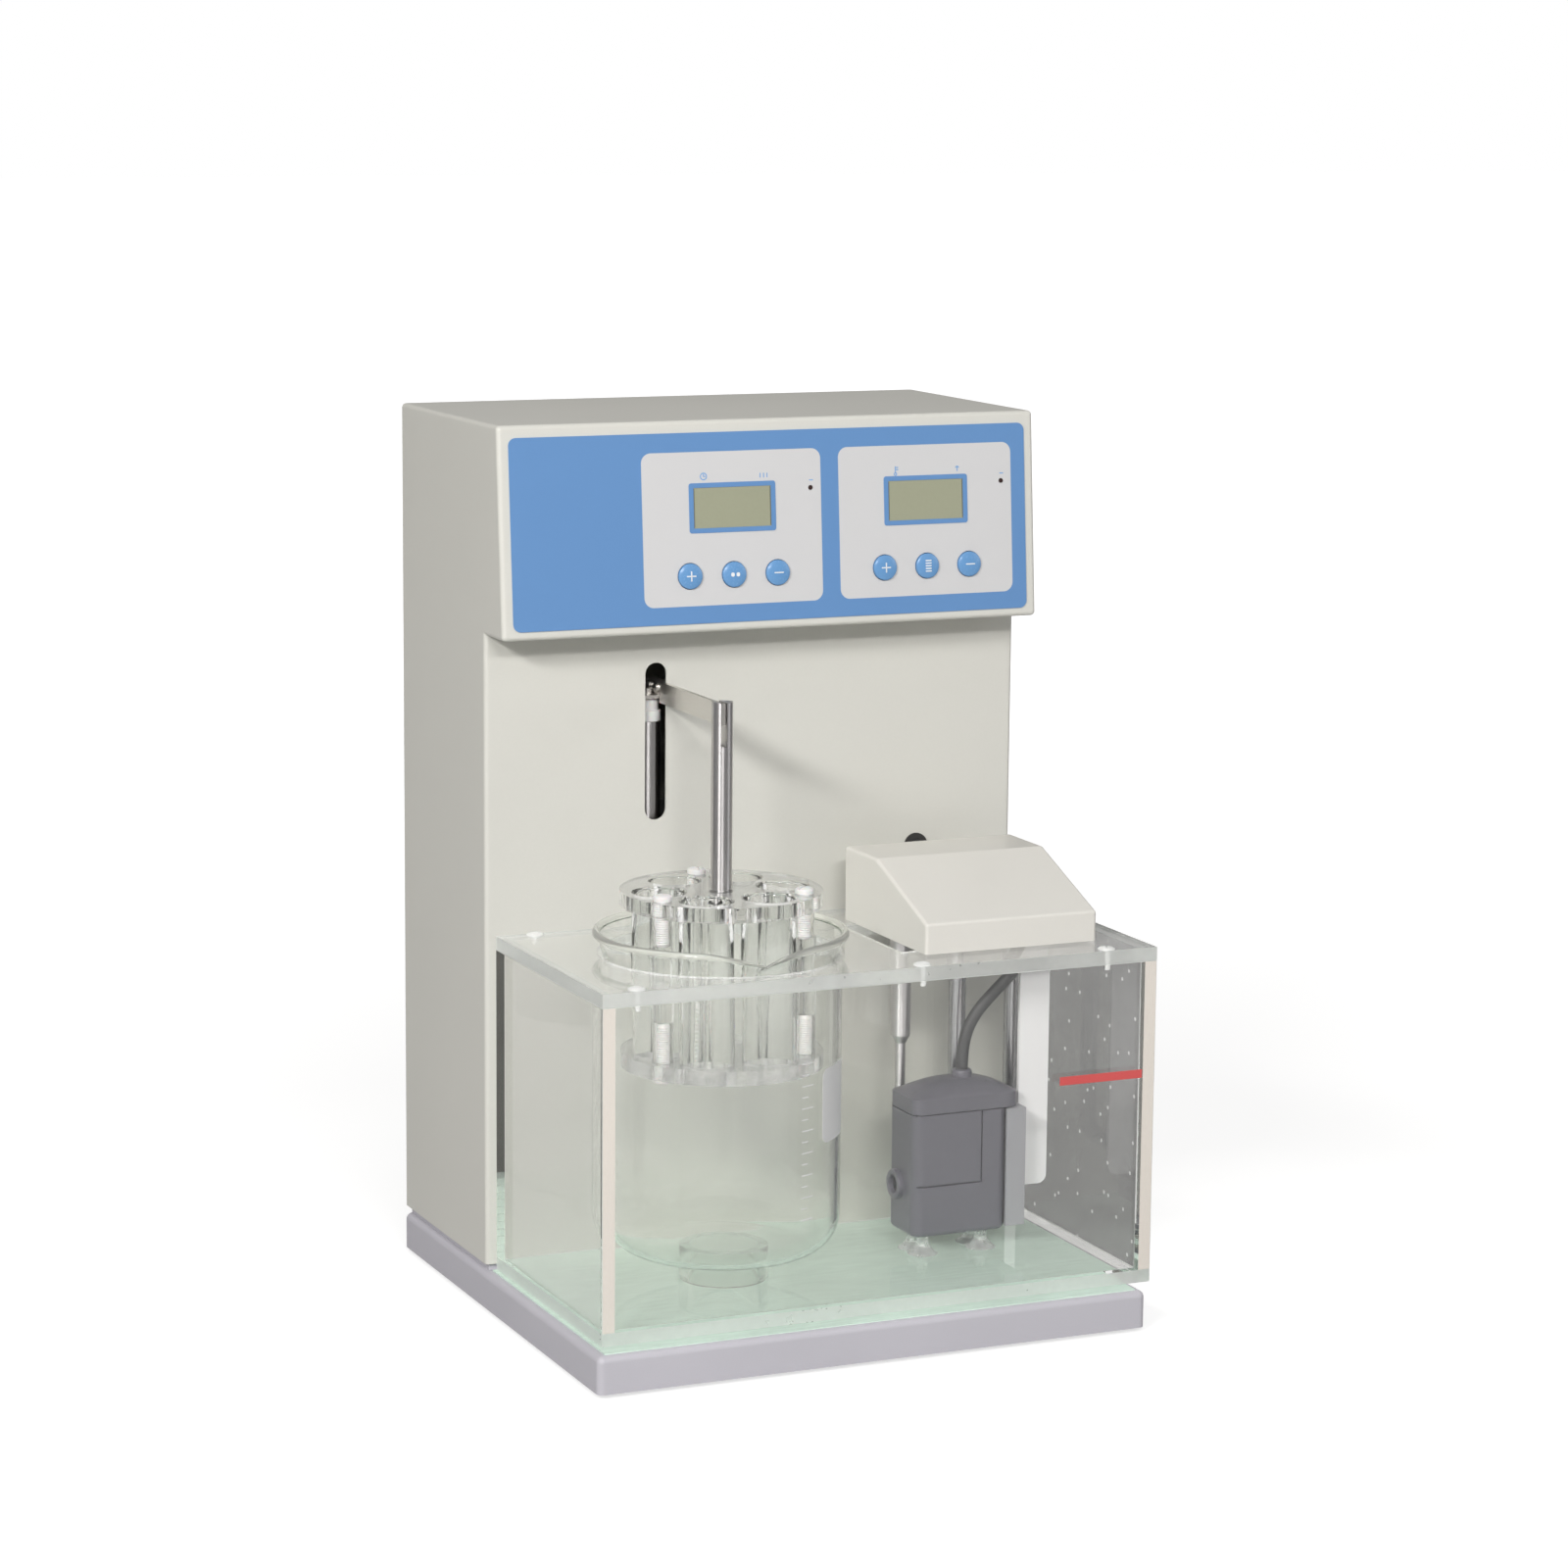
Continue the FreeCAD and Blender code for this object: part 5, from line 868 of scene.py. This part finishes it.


# Bath: five sheets of clear acrylic, sawn and glued. Their sawn ends are left
# rough and look beige, dried drops have left spots on the right-hand wall, and
# that wall's inner face is tinted dark as painted shade.
tank_low, tank_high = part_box("tank_panels")
lid_low, lid_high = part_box("tank_lid")
sheet_t = 6.0 * mm
glue = 0.04 * mm
sheet_edge = 0.3 * mm
sawn_beige = (0.76, 0.71, 0.65)
sawn_clear = (0.71, 0.73, 0.71)
drop_grey = (0.45, 0.45, 0.45)

sawn_end = finish("sawn_end", sawn_beige, 0.5, 0.7, 0.03, 0.10, 0.1,
                  stretch=(1, 1, 0.25))
lid_edge = clear("lid_edge", sawn_clear, 0.3, 1.49, 0.1, 0.12, weight=0.45)


def painted_shade_with_drops(name, tint, spots_per_metre, spot_share):
    """Clear sheet tinted dark on its front side as painted shade, with dried drops on it; its back
    side keeps the clear tint.
    """
    material = clear(name, tint, 0.0, 1.49, tone=0.6)
    tree = material.node_tree
    place = add_node(tree, "TexCoord")
    split = add_node(tree, "SeparateXYZ")
    flat = add_node(tree, "CombineXYZ")
    cells = add_node(tree, "TexVoronoi", (("Scale", spots_per_metre),), voronoi_dimensions="2D")
    inside = add_node(tree, "Math", ((1, spot_share),), operation="LESS_THAN")
    drops = add_node(tree, "Mix", data_type="RGBA")
    # Front faces get the dark painted shade with the drops, back faces the clear tint.
    side = add_node(tree, "NewGeometry")
    turn = add_node(tree, "Mix", data_type="RGBA")
    drops.inputs["B"].default_value = (*drop_grey, 1)
    turn.inputs["B"].default_value = (*acrylic_tint, 1)
    wire(
        tree,
        (place, "Object", split, 0),
        (split, "Y", flat, "X"),
        (split, "Z", flat, "Y"),
        (flat, 0, cells, "Vector"),
        (cells, "Distance", inside, 0),
        (inside, 0, drops, "Factor"),
        (tree.nodes["surface"], "Colour", drops, "A"),
        (side, "Backfacing", turn, "Factor"),
        (drops, "Result", turn, "A"),
        (turn, "Result", tree.nodes["Principled BSDF"], "Base Color"),
    )
    return material


# The right-hand wall's inner face: a dark tint that is painted shade, with grey drops.
painted_shade_sheet = painted_shade_with_drops("painted_shade_sheet", (0.075, 0.075, 0.074), 62.0, 0.055)

x0, y0, z0 = tank_low
x1, y1, z1 = tank_high
inner_x = (x0 + sheet_t, x1 - sheet_t)


def bath_finish(middle, normal):
    """Number of the finish that a face of the bath has, by its place and direction."""
    eased = max(abs(normal.x), abs(normal.y), abs(normal.z)) < 0.99
    low_band = middle.z < z0 + sheet_t and (middle.y < y0 + glue or middle.x < x0 + glue)
    if eased or low_band or normal.z > 0.9 and middle.z > z1 - 2 * glue:
        return 2
    if normal.y < -0.9 and middle.y < y0 + glue and not inner_x[0] < middle.x < inner_x[1]:
        return 1
    # The right-hand wall's inner face takes the dark painted shade.
    if normal.x < -0.9 and abs(middle.x - inner_x[1]) < glue:
        return 3
    return 0


def make_bath():
    """Open box with its walls drawn down from an inset of the top."""
    bath = block("bath", (x0, y0, z0), (x1, y1, z1 - glue), "root")
    choose(bath, "faces", lambda middle, normal: normal.z > 0.9)
    bpy.ops.mesh.inset(thickness=sheet_t, depth=0.0)
    down = {"value": (0, 0, z0 + sheet_t - (z1 - glue))}
    bpy.ops.mesh.extrude_region_move(TRANSFORM_OT_translate=down)
    for place, way in (((inner_x[0], 0, 0), (1, 0, 0)), ((inner_x[1], 0, 0), (1, 0, 0)),
                       ((0, 0, z0 + sheet_t), (0, 0, 1))):
        bpy.ops.mesh.select_all(action="SELECT")
        bpy.ops.mesh.bisect(plane_co=place, plane_no=way)
    bpy.ops.mesh.select_all(action="SELECT")
    bpy.ops.mesh.remove_doubles(threshold=glue)
    done(bath)
    soften(bath, sheet_edge, 2)
    paint(bath, clear_acrylic, sawn_end, lid_edge, painted_shade_sheet)
    for face in bath.data.polygons:
        face.material_index = bath_finish(face.center, face.normal)
    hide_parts("tank_panels")


make_bath()

cutout_low = (25.0 * mm, -83.0 * mm)
cutout_high = (114.0 * mm, -18.8 * mm)
lid_hole_r = 54.5 * mm
lid = block("bath_lid", lid_low, (lid_high.x, y1, lid_high.z), "root")
drill(lid, [(basket_mid.x, basket_mid.y)], lid_hole_r, 128)
opening = block("opening", (*cutout_low, lid_low.z - sheet_t), (*cutout_high, lid_high.z + sheet_t),
                "root")
carve(lid, opening)
soften(lid, sheet_edge, 2)
hazy_sheet = clear("hazy_sheet", (0.97, 0.97, 0.96), 0.0, 1.49, weight=0.86)
paint(lid, hazy_sheet, lid_edge)
for face in lid.data.polygons:
    outer = (face.center.x < lid_low.x + sheet_edge or face.center.x > lid_high.x - sheet_edge
             or face.center.y < lid_low.y + sheet_edge or face.center.y > y1 - sheet_edge)
    face.material_index = 1 if outer else 0
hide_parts("tank_lid")


# Level mark: a short strip of red adhesive tape on the outside of the front
# wall, at the height that the water has to reach.
mark_x = (88.2 * mm, 129.6 * mm)
mark_z = (114.4 * mm, 118.3 * mm)
mark_t = 0.15 * mm
tape_red = finish("tape_red", (0.66, 0.10, 0.098), 0.4, 0.8, 0.01, 0.1)
tape = block("level_mark", (mark_x[0], y0 + glue - mark_t, mark_z[0]),
             (mark_x[1], y0 + glue, mark_z[1]), "root")
soften(tape, mark_t * 0.4, 2)
paint(tape, tape_red)


# Nylon screws that hold the lid and the guard strip: moulded in a clear white,
# slotted, with a low dome.
lid_screw_r = 1.25 * mm
lid_head_r = 3.9 * mm
lid_head_h = 1.6 * mm
lid_screw_len = 9.0 * mm
strip_low, strip_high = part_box("guard_strip")
plate_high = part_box("carrier_plate")[1]
lid_spots = [(x, y) for x in (-112.8 * mm, 21.4 * mm, 112.3 * mm)
             for y in (lid_low.y + 4 * mm, lid_high.y - 4 * mm)]
strip_mid = (strip_low.x + strip_high.x) / 2
tab_top = plate_high.z + 2.0 * mm
strip_spots = [(strip_mid + side * 5.0 * mm, strip_high.y - 3.5 * mm) for side in (-1, 1)]


nylon_clear = clear("nylon_clear", (0.88, 0.89, 0.88), 0.25, 1.5, 0.1, 0.05, 0.35)


def nylon_screw(name, x, y, seat, head, high, length):
    crown = dome_outline(head, seat, seat + high * 0.45, high * 0.55, high * 0.35)
    outline = [(0, seat - length), (lid_screw_r, seat - length), (lid_screw_r, seat)] + crown[1:]
    screw = turned(name, (x, y, 0), outline, "root", 36)
    cut_slot(screw, (x, y, 0), slot_w, seat + high * 0.55, seat + 9 * mm, 0.4 + 7 * x / mm)
    return paint(screw, nylon_clear)


for k, (x, y) in enumerate(lid_spots):
    screw = nylon_screw("lid_screw_%d" % (k + 1), x, y, lid_high.z, lid_head_r, lid_head_h,
                        lid_screw_len)
    if k == 0:
        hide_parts("nylon_screws")
for k, (x, y) in enumerate(strip_spots):
    nylon_screw("strip_screw_%d" % (k + 1), x, y, tab_top, 2.2 * mm, 1.4 * mm, 4.5 * mm)


# Heater cover: a loose hood of folded sheet, painted like the housing, over a
# carrier plate that rests on the lid with the heater, the probe, the white
# guard strip and the terminal blocks.
# Its cream is lighter than the housing's, as painted light for the brighter light on the cover.
dress(finish("cover_paint", (0.74, 0.725, 0.68), 0.36, 0.9, 0.012, 0.03, 0.06), "heater_cover")
dress(finish("heater_steel", (0.42, 0.42, 0.43), 0.24, 0.5, 0.003, 0.16, 0.15, stretch=(1, 1, 0.1),
      Metallic=1.0), "heater_tube")
dress(polished_steel, "temperature_probe")
dress(finish("strip_plastic", (0.93, 0.93, 0.94), 0.4, 1.0, 0.008, 0.05), "guard_strip")
dress(satin_steel, "carrier_plate")
dress(finish("block_plastic", (0.05, 0.05, 0.055), 0.45, 0.8, 0.02, 0.2), "terminal_blocks")


# Circulation pump: a moulded body with an L-shaped seam and an outlet nozzle,
# a crowned cap that overhangs on the right, and a paler cover on its intake.
body_low, body_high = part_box("pump_body")
intake_low, intake_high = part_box("pump_intake")
nozzle_len = 2.6 * mm
body_x = (body_low.x + nozzle_len, body_high.x)
body_corner = 5.0 * mm
foot_round = 2.6 * mm
mould_edge = 0.12 * mm
seam_w = 0.8 * mm
seam_deep = 1.2 * mm
seam_z = body_low.z + 23.5 * mm
seam_x = body_x[0] + 33.5 * mm
nozzle_spot = (-43.5 * mm, 57.0 * mm)
nozzle_r = 6.8 * mm
nozzle_bore = 4.2 * mm
cap_low, cap_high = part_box("pump_cap")
cap_gap = 0.35 * mm
cap_flat = 7.4 * mm
cap_edge_round = 1.3 * mm
crown_powers = (2.4, 3.0)
gland_spot = (72.6 * mm, -47.0 * mm)
gland_r = 4.6 * mm
gland_up = 3.0 * mm
gland_edge = 1.2 * mm
lead_r = 2.8 * mm
slit_count = 9
slit_share = 0.4
slit_deep = 2.0 * mm
slit_margin = 5 * mm

pump_plastic = finish("pump_plastic", (0.138, 0.135, 0.160), 0.30, 0.9, 0.002, 0.12, 0.1)
seam_shadow = finish("seam_shadow", (0.03, 0.03, 0.035), 0.7, 0.5, 0.0, 0.1)
intake_plastic = finish("intake_plastic", (0.36, 0.36, 0.385), 0.4, 0.5, 0.012, 0.08)
jacket = finish("jacket", (0.055, 0.056, 0.058), 0.5, 0.6, 0.01, 0.15)


def cut_block(piece, low, high):
    """Takes a straight groove or notch out of a piece."""
    carve(piece, block("tool", low, high, "root"))


def make_pump_body():
    body = block("pump_housing", (body_x[0], body_low.y, body_low.z),
                 (body_x[1], body_high.y, body_high.z), "root")
    choose(body, "edges", upright_edges)
    bpy.ops.mesh.bevel(offset=body_corner, segments=7, affect="EDGES")
    bpy.ops.object.mode_set(mode="OBJECT")
    foot_z = body_low.z
    choose(body, "edges", lambda middle, way: middle.z < foot_z + 0.1 * mm and abs(way.z) < 0.1)
    bpy.ops.mesh.bevel(offset=foot_round, segments=5, affect="EDGES")
    done(body)
    past = 2 * mm
    cut_block(body, (body_x[0] - past, body_low.y - past, seam_z),
              (seam_x + seam_w, body_low.y + seam_deep, seam_z + seam_w))
    cut_block(body, (seam_x, body_low.y - past, seam_z),
              (seam_x + seam_w, body_low.y + seam_deep, body_high.z + past))
    soften(body, mould_edge, 2)
    paint(body, pump_plastic)
    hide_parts("pump_body")

    lip = 0.6 * mm
    nozzle = turned("pump_nozzle", (0, 0, 0), [
        (nozzle_bore, -4 * mm),
        (nozzle_r, -4 * mm),
        (nozzle_r, nozzle_len - lip),
        *arc((nozzle_r - lip, nozzle_len - lip), lip, 0, 90, 4),
        *arc((nozzle_bore + lip, nozzle_len - lip), lip, 90, 180, 4),
        (nozzle_bore, -4 * mm),
    ], "root", 48)
    # A dark disc deep in the nozzle's bore is painted shade.
    bottom_r = nozzle_bore + 0.3 * mm
    bottom = turned("nozzle_bore_shade", (0, 0, 0), [
        (0, -1.0 * mm), (bottom_r, -1.0 * mm), (bottom_r, 0.2 * mm), (0, 0.2 * mm),
    ], "root", 32)
    aside = Matrix.Translation((body_x[0], *nozzle_spot)) @ Matrix.Rotation(-math.pi / 2, 4, "Y")
    for piece, material in ((nozzle, pump_plastic), (bottom, seam_shadow)):
        piece.data.transform(aside)
        paint(piece, material)


def make_pump_cap():
    """Cap with a rounded plan and a crown, and the gland of its lead."""
    lower, upper = cap_low.z + cap_gap, cap_low.z + cap_flat
    cap = block("pump_lid", (cap_low.x, cap_low.y, lower), (cap_high.x, cap_high.y, upper),
                "root")
    take(cap)
    bpy.context.tool_settings.mesh_select_mode = (True, False, False)
    bpy.ops.object.mode_set(mode="EDIT")
    bpy.ops.mesh.select_all(action="SELECT")
    bpy.ops.mesh.subdivide(number_cuts=27)
    bpy.ops.object.mode_set(mode="OBJECT")
    mid, half = (cap_low + cap_high) / 2, (cap_high - cap_low) / 2
    crown = cap_high.z - gland_up - upper
    for vertex in cap.data.vertices:
        x, y = vertex.co.x - mid.x, vertex.co.y - mid.y
        if vertex.co.z > upper - glue:
            along, across = crown_powers
            vertex.co.z += crown * (1 - abs(x / half.x) ** along) * (1 - abs(y / half.y) ** across)
        past_x, past_y = abs(x) - (half.x - body_corner), abs(y) - (half.y - body_corner)
        if past_x > 0 and past_y > 0:
            pull = max(past_x, past_y) / math.hypot(past_x, past_y)
            vertex.co.x = mid.x + math.copysign(half.x - body_corner + past_x * pull, x)
            vertex.co.y = mid.y + math.copysign(half.y - body_corner + past_y * pull, y)
    apply_modifier(cap, "BEVEL", width=cap_edge_round, segments=3, limit_method="ANGLE",
                   angle_limit=math.radians(42))
    done(cap, 50)
    paint(cap, pump_plastic)
    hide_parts("pump_cap")
    # A dark block under the cap fills its gap with painted shade.
    inset = body_corner / 4
    gap = block("lid_gap_painted_shade", (body_x[0] + inset, body_low.y + inset, cap_low.z - cap_gap),
                (body_high.x - inset, body_high.y - inset, lower + cap_gap), "root")
    paint(gap, seam_shadow)

    x, y = gland_spot
    top, base = cap_high.z, cap_high.z - gland_up - 2 * mm
    gland = turned("pump_gland", (x, y, 0), [
        (0, base), (gland_r, base), (gland_r, top - gland_edge),
        *arc((gland_r - gland_edge, top - gland_edge), gland_edge, 0, 90, 4),
        (lead_r, top), (0, top),
    ], "root", 40)
    paint(gland, pump_plastic)


def make_intake():
    cover = block("intake_cover", (body_high.x + 0.1 * mm, intake_low.y, intake_low.z),
                  intake_high, "root")
    lap = block("lap", intake_low, (body_high.x + 0.2 * mm, body_low.y - 0.1 * mm, intake_high.z),
                "root")
    carve(cover, lap, "UNION")
    pitch = (intake_high.z - intake_low.z) / (slit_count + 1)
    for k in range(slit_count):
        z = intake_low.z + (k + 0.8) * pitch
        cut_block(cover, (intake_high.x - slit_deep, intake_low.y + slit_margin, z),
                  (intake_high.x + slit_deep, intake_high.y - slit_margin, z + pitch * slit_share))
    soften(cover, 0.45 * mm, 2)
    paint(cover, intake_plastic)
    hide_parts("pump_intake")


make_pump_body()
make_pump_cap()
make_intake()


# Suction cups of soft clear vinyl, four of them, pressed into the underside of
# the pump. They hold it to the floor of the bath.
cups_low, cups_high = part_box("suction_cups")
cup_inset = 9.0 * mm
cup_r = 7.0 * mm
cup_vinyl = clear("cup_vinyl", (0.93, 0.94, 0.93), 0.25, 1.45, 0.1, 0.1, 0.8)
cup_spots = [(x, y) for x in (body_x[0] + cup_inset, body_x[1] - cup_inset)
             for y in (body_low.y + cup_inset, body_high.y - cup_inset)]
for k, (x, y) in enumerate(cup_spots):
    floor_z, neck_z = cups_low.z, cups_high.z
    cup = turned("suction_cup_%d" % (k + 1), (x, y, 0), [
        (0, floor_z + 1.6 * mm), (3.6 * mm, floor_z + 1.1 * mm), (cup_r - 0.4 * mm, floor_z),
        (cup_r, floor_z + 0.25 * mm), (5.2 * mm, floor_z + 1.7 * mm),
        (3.4 * mm, floor_z + 3.6 * mm),
        (2.6 * mm, floor_z + 5.4 * mm), (2.6 * mm, neck_z), (0, neck_z),
    ], "root", 36)
    paint(cup, cup_vinyl)
    if k == 0:
        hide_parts("suction_cups")


# Leads: the pump's lead from its gland to the terminal block, and the trunk
# lead from there through the grommet into the column. Both are round, with a
# dark jacket, and the instrument holds both ends of each.
pump_start = (72.6, -47.0, 106.0)
pump_steps = (
    (0.0, 0.0, 3.0),
    (0.0, 0.0, 14.0),
    (4.2, -1.0, 26.5),
    (12.4, -4.2, 37.5),
    (21.4, -8.4, 48.0),
    (27.8, -10.8, 61.5),
    (27.8, -10.8, 74.0),
)
trunk_start = (78.0, 14.0, 201.3)
trunk_steps = (
    (5.0, -68.0, -18.3),
    (5.0, -59.0, -18.3),
    (4.8, -48.0, -14.4),
    (4.0, -37.0, -9.2),
    (2.4, -26.0, -6.2),
    (0.6, -17.0, -2.6),
    (0.0, -8.0, 0.0),
    (0.0, 6.0, 0.0),
    (0.4, 16.0, -1.2),
)


def make_lead(name, start, steps, node):
    """A lead on one smooth line through its given points, in millimetres."""
    route = [[(s + d) * mm for s, d in zip(start, step)] for step in steps]
    curve = bpy.data.curves.new(name, "CURVE")
    curve.dimensions = "3D"
    curve.bevel_depth = lead_r
    curve.bevel_resolution = 6
    curve.resolution_u = 12
    curve.use_fill_caps = True
    line = curve.splines.new("NURBS")
    line.points.add(len(route) - 1)
    for point, place in zip(line.points, route):
        point.co = (*place, 1)
    line.order_u = 3
    line.use_endpoint_u = True
    lead = bpy.data.objects.new(name, curve)
    bpy.context.scene.collection.objects.link(lead)
    curve.materials.append(jacket)
    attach(lead, "root")
    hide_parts(node)


make_lead("pump_cable", pump_start, pump_steps, "pump_lead")
make_lead("trunk_cable", trunk_start, trunk_steps, "trunk_lead")


# Lift drive inside the column: a bent steel plate with two guides, a crank
# disc with its pin and roller, the slotted yoke and a geared motor.
dress(finish("drive_zinc", (0.52, 0.53, 0.54), 0.4, 5.0, 0.003, 0.14, 0.15, Metallic=1.0),
      "drive_plate", "yoke")
dress(finish("cast_alloy", (0.40, 0.41, 0.43), 0.5, 1.2, 0.03, 0.2, 0.1, Metallic=1.0),
      "gear_motor", "crank_disc")
dress(finish("guide_bronze", (0.55, 0.42, 0.22), 0.4, 0.8, 0.01, 0.12, Metallic=1.0),
      "shaft_guides")
dress(polished_steel, "crank_pins", "crank_roller")
dress(finish("core_lacquer", (0.16, 0.09, 0.05), 0.45, 0.5, 0.02, 0.3, stretch=(1, 0.02, 0.02)),
      "transformer")


# Mains fittings on the rear cover: inlet with its blades, fuse holder and the
# rocker switch in its frame, all moulded in black.
dress(finish("mains_plastic", (0.022, 0.022, 0.024), 0.35, 0.7, 0.015, 0.2), "mains_fittings",
      "rocker")


# Studio: a plain pale floor and a white surround, two narrow lamps in front on
# the left, a weaker soft one from the right and one from behind.
view_target = Vector((10.72, 14.0, 234.25)) * mm
view_distance = 1983.9 * mm
view_side = math.radians(-24.078)
view_up = math.radians(9.794)
view_roll = 0.009248362
view_lens = 99.27
floor_size = 30.0
floor_white = 0.46
floor_glow = (0.70, 1.0)
floor_glow_reach = (0.45, 1.8)
surround_levels = (0.10, 0.42)
surround_swing = (0.60, 1.42)
seen_rays = ("Is Camera Ray", "Is Transmission Ray")
lamp_aim = Vector((0.0, 0.0, 0.25))
lamps = (
    ("key_left", (-1.52, -1.28, 1.2), (0.7, 0.15), 26.0, (1.0, 0.985, 0.965)),
    ("key_front", (-0.51, -1.92, 1.2), (0.7, 0.15), 17.0, (1.0, 0.985, 0.965)),
    ("fill_light", (1.7, -1.1, 0.9), (0.8, 1.0), 5.5, (0.97, 0.985, 1.0)),
    ("back_light", (0.6, 1.7, 1.9), (1.0, 0.6), 4.0, (1.0, 0.99, 0.98)),
)


def ranged(tree, source, output, span, target):
    """Maps an output from one range to another and holds it within."""
    ends = zip(("From Min", "From Max", "To Min", "To Max"), (*span, *target))
    node = add_node(tree, "MapRange", ends)
    wire(tree, (source, output, node, "Value"))
    return node


def make_floor():
    bpy.ops.object.select_all(action="DESELECT")
    bpy.ops.mesh.primitive_plane_add(size=floor_size, location=(0, 0, 0))
    floor = bpy.context.object
    floor.name = "studio_floor"
    material = bpy.data.materials.new("studio_floor")
    material.use_nodes = True
    tree = material.node_tree
    shader = tree.nodes["Principled BSDF"]
    shader.inputs["Base Color"].default_value = (floor_white, floor_white, floor_white, 1)
    shader.inputs["Roughness"].default_value = 0.9
    shader.inputs["Specular IOR Level"].default_value = 0.0
    shader.inputs["Emission Color"].default_value = (1, 1, 1, 1)
    place = add_node(tree, "TexCoord")
    away = add_node(tree, "VectorMath", operation="LENGTH")
    glow = add_node(tree, "Math", operation="MULTIPLY")
    wire(tree, (place, "Object", away, 0), (glow, 0, shader, "Emission Strength"),
         (either_ray(tree, *seen_rays), 0, glow, 0),
         (ranged(tree, away, "Value", floor_glow_reach, floor_glow), "Result", glow, 1))
    floor.data.materials.append(material)


def make_surround():
    """White where it is seen, and grey that brightens upwards and to the left where it lights."""
    world = bpy.data.worlds.new("studio_surround")
    bpy.context.scene.world = world
    world.use_nodes = True
    tree = world.node_tree
    lit = tree.nodes["Background"]
    lit.inputs["Color"].default_value = (1.0, 0.99, 0.975, 1)
    white = add_node(tree, "Background", (("Color", (1, 1, 1, 1)),))
    place = add_node(tree, "TexCoord")
    split = add_node(tree, "SeparateXYZ")
    aimed = add_node(tree, "VectorMath", ((1, (-0.8, -0.6, 0.0)),), operation="DOT_PRODUCT")
    level = add_node(tree, "Math", operation="MULTIPLY")
    wire(tree, (place, "Generated", split, 0), (place, "Generated", aimed, 0),
         (ranged(tree, split, "Z", (0.0, 1.0), surround_levels), "Result", level, 0),
         (ranged(tree, aimed, "Value", (-1.0, 1.0), surround_swing), "Result", level, 1),
         (level, 0, lit, "Strength"))
    mix_shaders(tree, either_ray(tree, *seen_rays), lit, white, "World Output")


def soft_light(name, place, size, power, colour):
    data = bpy.data.lights.new(name, "AREA")
    data.shape = "RECTANGLE"
    data.size, data.size_y = size
    data.energy = power
    data.color = colour
    light = bpy.data.objects.new(name, data)
    bpy.context.scene.collection.objects.link(light)
    light.location = place
    light.rotation_euler = (lamp_aim - Vector(place)).to_track_quat("-Z", "Y").to_euler()
    light.visible_transmission = False


make_floor()
make_surround()
for lamp in lamps:
    soft_light(*lamp)

back = Vector((math.sin(view_side) * math.cos(view_up), -math.cos(view_side) * math.cos(view_up),
               math.sin(view_up)))
right = Vector((math.cos(view_side), math.sin(view_side), 0))
up = back.cross(right)
right, up = (math.cos(view_roll) * right + math.sin(view_roll) * up,
             math.cos(view_roll) * up - math.sin(view_roll) * right)
camera_data = bpy.data.cameras.new("studio_camera")
camera_data.lens = view_lens
camera_data.sensor_width = 36.0
camera_data.clip_end = 50.0
camera = bpy.data.objects.new("studio_camera", camera_data)
bpy.context.scene.collection.objects.link(camera)
camera.matrix_world = Matrix.Translation(view_target + back * view_distance) @ Matrix((
    (right.x, up.x, back.x, 0),
    (right.y, up.y, back.y, 0),
    (right.z, up.z, back.z, 0),
    (0, 0, 0, 1),
))
scene = bpy.context.scene
scene.camera = camera
scene.view_settings.view_transform = "Standard"
scene.cycles.max_bounces = 24
scene.cycles.transmission_bounces = 24
scene.cycles.glossy_bounces = 24
scene.cycles.diffuse_bounces = 6
scene.cycles.transparent_max_bounces = 32

bpy.context.view_layer.update()
